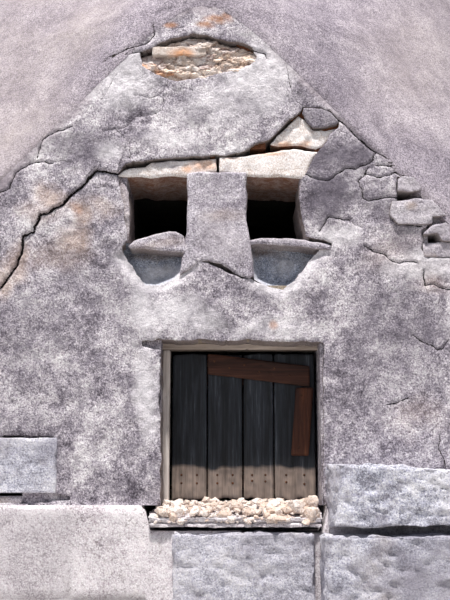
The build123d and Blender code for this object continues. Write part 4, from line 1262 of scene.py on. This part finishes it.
LIFTED = main_crack + on_wall([(140, 100), (-80, 100), (-80, 300)])
GABLE_ZONE = on_wall([
    (-60, 250), (0, 190), (28, 165), (60, 132), (84, 104), (98, 88), (106, 70), (118, 57), (138, 42),
    (150, 28), (165, 18), (200, 14), (236, 15), (256, 24), (263, 40), (270, 58), (290, 76), (318, 100),
    (345, 125), (378, 152), (400, 170), (430, 195), (500, 250), (500, 700), (-60, 700),
])


def plaster_look(x, z, edge):
    """The coat's face, with its cracks, and lifted where it has come away from the wall."""
    deep, crack_marks = crack_shape(x, z)
    lift = 0.011 * within(x, z, LIFTED) * np.exp(-distance(x, z, main_crack) / 0.15)
    foot = np.min([distance(x, z, line) for line in HOLLOW_FEET], axis=0)
    lip = distance(x, z, CROWN_LIP)
    out = plaster_swell(x, z) + lift - deep - rounded(edge, 0.004)
    out = out - 0.016 * np.exp(-(foot / 0.024) ** 2) + 0.006 * np.exp(-(lip / 0.03) ** 2)
    outside = 0.5 - depth_in(x, z, GABLE_ZONE) / 0.03 + 0.5 * rugged(x, 0, z, 0.06, 91, 3)
    pale = np.maximum(blotches(x, z, PALE_SPOTS, 81), 0.9 * np.exp(-(foot / 0.035) ** 2))
    marks = {"cone": np.clip(outside, 0, 1), "pale": pale, "warm": blotches(x, z, WARM_SPOTS, 83),
             "dim": blotches(x, z, DIM_SPOTS, 85), "rust": blotches(x, z, RUST_SPOTS, 87), **crack_marks}
    return out, marks


# The coat comes in two parts that meet just below the hollows, each with a fine grid of points in the
# middle and a coarse one in the wings.
wing = np.linspace(1.23, 2.27, 30)
coat_columns = np.concatenate([-wing[::-1], np.linspace(-1.2, 1.2, 471), wing])
coat_holes = [vent_hole, hatch_hole, crown_hole, right_hole, left_hole]
COATS = [("gable_plaster_lower", np.linspace(1.187, 2.15, 108)),
         ("gable_plaster_upper", np.linspace(2.15, 3.57, 262))]
for name, coat_rows in COATS:
    traced_plate(name, gable_outline, PLASTER_FRONT, WALL_BACK, 0.008, plaster_look, gable_plaster,
                 "plastered_masonry", coat_holes, 0.005, 2, 0.004, 3, coat_columns, coat_rows, joined=True)


# Jamb facings: old plaster turned into the vents' left and right sides, where it still clings to the
# masonry, and one flake of the coat left hanging over the upper stone.
def jamb_look(x, z, edge):
    """Old warm plaster with soft lumps and a rounded edge."""
    return 0.006 * rugged(x, 0, z, 0.06, 91, 4) - rounded(edge, 0.006), {"warm": 0.3 + 0 * x}


def flake_look(x, z, edge):
    """A dark scab of plaster with a broken edge."""
    return -0.006 * (0.5 + 0.5 * rugged(x, 0, z, 0.05, 95, 4)) - rounded(edge, 0.008), {"dim": 0.6 + 0 * x}


LEFT_JAMB = [
    (115, 172), (120, 176), (124, 184), (129, 192), (129.5, 210), (129, 242), (120, 244), (117, 210),
]
RIGHT_JAMB = [(299, 177), (310, 170), (314, 200), (318, 238), (306, 240), (302, 218), (299.5, 196)]
FLAKE = [
    (302, 113), (304, 108), (321, 108), (331, 113), (338, 121), (336, 123.5), (323, 127.5), (313, 128.5),
    (307, 122),
]
JAMBS = [("left_jamb_plaster", LEFT_JAMB, 57), ("right_jamb_plaster", RIGHT_JAMB, 58)]
for name, places, seed in JAMBS:
    traced_plate(name, on_wall(places, TRACED_AT), BROKEN_FRONT, INNER_BACK, 0.006, jamb_look,
                 skinned_limestone, "plastered_masonry", steps=8, rough=0.006, seed=seed)
traced_plate("loose_plaster_flake", on_wall(FLAKE), -2.640, -2.600, 0.005, flake_look, gable_plaster,
             "plastered_masonry", steps=2, rough=0.003, seed=59)


# Stones bared near the tip: the plaster has fallen from thin, broken beds of cream limestone set in
# red clay, and one grey slab lies in the hole's upper left.
CROWN_BED = [
    (137, 60), (141, 48), (160, 41), (190, 31), (212, 33), (245, 41), (257, 48), (261, 58), (252, 69),
    (222, 77), (190, 83), (170, 82), (148, 76),
]
# The first row, just under the plaster's lip, is dun and clay, a brown-grey that partly paints the lip's
# shadow.
BED_STONES = [
    (178, 44, "dun"), (191, 40, "dun"), (204, 43, "dun"), (217, 46, "dun"), (229, 50, "clay"),
    (241, 52, "dun"), (238, 60, "cream"), (223, 57, "cream"), (248, 57, "cream"), (212, 62, "dun"),
    (199, 60, "dun"), (184, 61, "dun"), (206, 66, "clay"), (150, 62, "clay"), (159, 65, "clay"),
    (148, 67, "ochre"), (168, 69, "cream"), (182, 75, "cream"), (197, 74, "cream"), (213, 71, "cream"),
    (228, 68, "cream"), (241, 66, "cream"), (176, 66, "dun"), (191, 68, "dun"), (161, 74, "ochre"),
    (171, 78, "cream"), (216, 54, "dun"), (169, 61, "dun"), (232, 64, "dun"), (205, 56, "clay"),
]
bed_random = np.random.default_rng(66)
bed_places = np.array(on_wall([(px, py) for px, py, kind in BED_STONES]))
bed_depth = bed_random.uniform(0, 0.014, len(BED_STONES))
bed_tilt = bed_random.uniform(-0.3, 0.6, len(BED_STONES))
BED_STRETCH = 2.6


def broken_beds(x, z, edge):
    """Thin stones that lie about their places, each at its own depth, tilt and tone."""
    wx = x + 0.022 * rugged(x, 0, z, 0.05, 621, 4)
    wz = z + 0.009 * rugged(x, 0, z, 0.03, 623, 4)
    apart = np.hypot((wx[..., None] - bed_places[:, 0]) / BED_STRETCH, wz[..., None] - bed_places[:, 1])
    order = np.argsort(apart, -1)
    nearest = order[..., 0]
    apart = np.take_along_axis(apart, order[..., :2], -1)
    seam = apart[..., 1] - apart[..., 0]
    above = z - bed_places[nearest, 1]
    ragged = 0.006 * rugged(x, 0, z, 0.025, 631, 4)
    under_lip = np.exp(-np.maximum(distance(x, z, CROWN_LIP) - 0.005 + ragged, 0) / 0.004)
    layers = np.round(2.5 * rugged(x * 0.3, 0, z, 0.016, 627, 3)) / 2.5
    out = -bed_depth[nearest] - bed_tilt[nearest] * above - 0.006 * np.exp(-(seam / 0.0024) ** 2)
    out = out + 0.007 * layers + 0.005 * rugged(x, 0, z, 0.018, 625, 3) - 0.016 * under_lip
    uneven = 0.8 + 0.6 * rugged(x, 0, z, 0.02, 629, 4)
    marks = {}
    for kind in ("dun", "ochre", "clay", "cream"):
        members = [k for k, stone in enumerate(BED_STONES) if stone[2] == kind]
        marks[kind] = np.clip(uneven * np.isin(nearest, members), 0, 1)
    clay = 0.7 * marks["clay"] + 0.35 * np.exp(-(seam / 0.003) ** 2) + 0.5 * np.clip(-layers, 0, 1)
    marks["clay"] = np.clip(clay, 0, 1)
    # Painted shadow: a near-black band under the plaster's lip.
    marks["grime"] = under_lip
    return out, marks


beds = traced_plate("crown_bared_beds", on_wall(CROWN_BED), -2.626, -2.49, 0.0036, broken_beds,
                    bared_limestone, "limestone", seed=62)
faceted(beds)
SLAB_CORNERS = [(152, 58), (207, 48)]
(slab_left, slab_foot), (slab_right, slab_head) = on_wall(SLAB_CORNERS, -2.61)
STAIN_ACROSS = 0.55
STAIN_UP = 0.25


def slab_marks(p, depth):
    """A dun skin with one ochre stain."""
    x, y, z = p.T
    across = (x - slab_left - STAIN_ACROSS * (slab_right - slab_left)) / 0.055
    upward = (z - slab_foot - STAIN_UP * (slab_head - slab_foot)) / 0.022
    stain = np.hypot(across, upward)
    return {"dun": np.clip(0.75 + 0.3 * rugged(x, y, z, 0.05, 641, 3), 0, 1),
            "ochre": np.clip(1.5 - stain, 0, 1)}


block("crown_grey_slab", (slab_left, -2.640, slab_foot), (slab_right, -2.50, slab_head), 0.007, 0.005,
      split_stone(0.006, 0.05, 650), bared_limestone, "limestone", marks=slab_marks)


# Slabs at the gable's right edge: flat bedding stones of grey-skinned limestone whose plaster has
# gone. They stick out of the wall one over another, with dark gaps between them.
EDGE_STONES = [
    ("edge_stone_top", -2.66, 0.3, (),
     [(398, 190), (398, 179), (403, 176), (414, 177), (421, 184), (420, 190), (410, 191)]),
    ("edge_pebble", -2.60, 0.0, (),
     [(419, 199), (420, 190), (426, 188), (431, 194), (432, 200), (426, 201)]),
    ("edge_slab_long", -2.65, 0.5, ("edge_slab_upper",),
     [(390, 215), (391, 207), (393, 201), (402, 200), (417, 198), (432, 200), (440, 208), (447, 215),
      (433, 216), (433, 223), (415, 224), (399, 223)]),
    ("edge_slab_short", -2.655, 0.4, (),
     [(424, 232), (433, 225), (446, 222), (456, 228), (468, 241), (452, 241), (442, 240), (438, 232),
      (424, 234)]),
    ("edge_slab_low", -2.635, 0.0, ("edge_slab_lower",),
     [(424, 256), (423, 243), (440, 242), (470, 243), (480, 262), (455, 257)]),
]


def edge_face(number, grey):
    """The look of a split slab: thin beds that stand out in steps, and a pale or grey skin."""
    def look(x, z, edge):
        beds = np.round(3 * rugged(x * 0.3, 0, z, 0.05, 710 + number, 3)) / 3
        out = -0.006 * lumpy(x, 0, z, 0.07, 700 + number) + 0.004 * beds - rounded(edge, 0.003)
        return out, {"pale": np.clip(1.1 - grey + 0.5 * rugged(x, 0, z, 0.09, 720 + number, 3), 0, 1),
                     "warm": np.clip(rugged(x, 2, z, 0.08, 730 + number, 3) - 0.35, 0, 1)}
    return look


for number, (name, stone_front, grey, replaced, places) in enumerate(EDGE_STONES):
    traced_plate(name, on_wall(places, stone_front), stone_front, INNER_BACK, 0.005,
                 edge_face(number, grey), skinned_limestone, "limestone",
                 steps=10, rough=0.006, seed=740 + number, replaced=replaced)


# Cone plaster: one smooth coat over the whole roof, drawn on by hand with slanting strokes, now
# lichen-grey with pale flecks and warm beige patches, and feathered on to the gable's edge.
cone_plaster = weathered(
    "weathered_cone_plaster",
    [(0.38, "#6a636d"), (0.45, "#837b85"), (0.51, "#948c95"), (0.57, "#a59da5"), (0.65, "#bcb4bb")],
    0.22, 0.05,
    [(0.014, 0.57, 0.68, 0.5, "#d2c9cd"), (0.012, 0.45, 0.35, 0.65, "#5a525c"),
     (0.16, 0.53, 0.64, 0.2, "#7b727d")],
    0.9, 0.011, [("warm", "#b3a8a2", 0.55), ("dim", "#7d747d", 0.25)],
    cracks="#2a2422", fall=0.6,
)
WARM_ON_CONE = [(20, 60, 60, 60, 0.6), (60, 20, 40, 30, 0.4), (420, 60, 60, 70, 0.6)]
CONE_HEIGHT = 5.6
CONE_TOP = 6.8
CONE_FOOT_RADIUS = 3.40
CONE_TAPER = 3.10
CONE_BULGE = 0.3255
FINE_TO = 3.75
NEAR_SHARE = 0.13
# Where it is feathered out, the coat reaches this far in front of the cone's axis, a millimetre more
# than the gable's plaster.
FEATHERED_REACH = 2.631


def cone_radius(z):
    """The cone's radius at a height: it bulges a little over a straight slope."""
    share = (z - DRUM_TOP) / CONE_HEIGHT
    return CONE_FOOT_RADIUS - CONE_TAPER * (share - CONE_BULGE * share * (1 - share))


# Rows of points lie close together up to the gable's tip, and columns close beside the gable. The first
# column is tucked in behind the gable's edge, and no faces join the second to the third in its place.
cone_z = np.concatenate([np.arange(DRUM_TOP, FINE_TO, 0.015), np.linspace(FINE_TO, CONE_TOP, 68)])
far_shares = NEAR_SHARE + (1 - NEAR_SHARE) * np.linspace(0, 1, 128)[1:] ** 1.15
column_share = np.concatenate([[0.0, 0.0], np.linspace(0, NEAR_SHARE, 78), far_shares])
for side, name in ((-1, "cone_plaster_left"), (1, "cone_plaster_right")):
    z = cone_z[:, None] + 0 * column_share[None, :]
    radius = cone_radius(z)
    start = np.arcsin(np.clip(gable_half_width(z) / radius, 0, 1))
    turn = start + (math.pi - start) * column_share[None, :]
    x, y = side * radius * np.sin(turn), -radius * np.cos(turn)
    edge_line = [(side * w, h) for w, h in zip(gable_half_width(gable_heights), gable_heights)]
    edge_line.append((0, GABLE_TIP))
    from_edge = distance(side * (gable_half_width(z) + radius * (turn - start)), z, edge_line)
    level = np.minimum(z, GABLE_TIP)
    flat_width = gable_half_width(level)
    step = FEATHERED_REACH - np.sqrt(np.maximum((cone_radius(level) + 0.02) ** 2 - flat_width ** 2, 0))
    blend = np.exp(-(from_edge / (0.03 + 1.1 * np.abs(step))) ** 2)
    stroke = rugged(x + 0.6 * z, y, z - 0.5 * x, 0.09, 803, 3)
    out = 0.020 + 0.006 * rugged(x, y, z, 0.5, 801, 3)
    out = out + 0.0035 * stroke + 0.0015 * rugged(x, y, z, 0.03, 805, 2)
    ring = radius + np.maximum(out, 0.002)
    joined_y = (1 - blend) * -ring * np.cos(turn) - blend * (FEATHERED_REACH + plaster_swell(x, z))
    x = side * (ring + (radius - ring) * blend) * np.sin(turn)
    sight = (PLASTER_FRONT - EYE[1]) / np.maximum(joined_y - EYE[1], 0.5)
    wall_x = np.where(joined_y < -1.2, EYE[0] + (x - EYE[0]) * sight, 50)
    wall_z = EYE[2] + (z - EYE[2]) * sight
    deep, crack_marks = crack_shape(wall_x, wall_z)
    crack_marks["crack_near"] = crack_marks["crack_near"] / 2.2
    cracked = np.minimum(joined_y + deep, -(radius + 0.002) * np.cos(turn))
    y = np.where(turn < 1.5, cracked, -ring * np.cos(turn))
    x[:, 0] *= 0.97
    y[:, 0] += 0.12
    points = np.stack([x, y, z], 2)
    keep = np.ones((z.shape[0] - 1, z.shape[1] - 1), bool)
    keep[:, 1] = False
    faces = grid_faces(*z.shape, keep)
    if side < 0:
        faces = faces[:, ::-1]
    warm = np.clip(rugged(x, y, z, 0.8, 813, 3), 0, 1)
    warm = np.maximum(blotches(wall_x, wall_z, WARM_ON_CONE, 811), warm)
    marks = {"warm": warm, "dim": np.clip(rugged(x, y, 0.6 * z, 0.5, 815, 4), 0, 1), **crack_marks}
    mesh_piece(name, points.reshape(-1, 3), faces, {k: v.reshape(-1) for k, v in marks.items()},
               cone_plaster, "plastered_masonry")


# Pinnacle: a round limestone disc and neck with a ball on top, cut by hand, set on the cone's tip and
# once limewashed.
def turned_stone(name, profile, cell, deep, seed, material, replaced):
    """A turned shape from its profile of (radius, height), weathered inwards by up to deep."""
    line = []
    for (r0, z0), (r1, z1) in zip(profile, profile[1:]):
        count = max(1, round(math.hypot(r1 - r0, z1 - z0) / cell))
        line += [(r0 + (r1 - r0) * k / count, z0 + (z1 - z0) * k / count) for k in range(count)]
    line = np.array(line + [profile[-1]])
    columns = max(24, round(2 * math.pi * line[:, 0].max() / cell))
    turn = np.linspace(0, 2 * math.pi, columns, endpoint=False)[None, :]
    r, z = line[:, :1] + 0 * turn, line[:, 1:] + 0 * turn
    x, y = r * np.cos(turn), r * np.sin(turn)
    worn = deep * lumpy(x, y, z, 0.09, seed) * np.clip(r / 0.05, 0, 1)
    points = np.stack([(r - worn) * np.cos(turn), (r - worn) * np.sin(turn), z], 2).reshape(-1, 3)
    faces = ring_faces(len(line), columns)
    return mesh_piece(name, points, faces, {}, material, "limestone", replaced=replaced)


pinnacle_stone = weathered(
    "limewashed_pinnacle_stone",
    [(0.34, "#7d7876"), (0.44, "#a39e9b"), (0.55, "#bfbab6"), (0.68, "#d5d0ca")],
    0.12, 0.03, [(0.012, 0.44, 0.34, 0.8, "#77716f")], 0.88, 0.004)
DISC_PROFILE = [
    (0.001, CONE_TOP), (0.32, CONE_TOP), (0.34, 6.82), (0.34, 6.865), (0.325, 6.88), (0.19, 6.88),
    (0.155, 6.95), (0.13, 7.02), (0.12, 7.06), (0.001, 7.06),
]
BALL_RADIUS = 0.17
ball_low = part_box("pinnacle_ball")[0][2]
ball_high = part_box("pinnacle_ball")[1][2]
centre_z = ball_high - BALL_RADIUS
lowest = -math.asin(min(1, (centre_z - ball_low) / BALL_RADIUS))
ball_profile = [(0.001, ball_low)]
for angle in np.linspace(lowest, math.pi / 2, 26):
    ball_profile.append((max(0.001, BALL_RADIUS * math.cos(angle)), centre_z + BALL_RADIUS * math.sin(angle)))
turned_stone("pinnacle_disc_and_neck", DISC_PROFILE, 0.012, 0.006, 901, pinnacle_stone, ("pinnacle_base",))
turned_stone("pinnacle_round_ball", ball_profile, 0.012, 0.004, 905, pinnacle_stone, ("pinnacle_ball",))
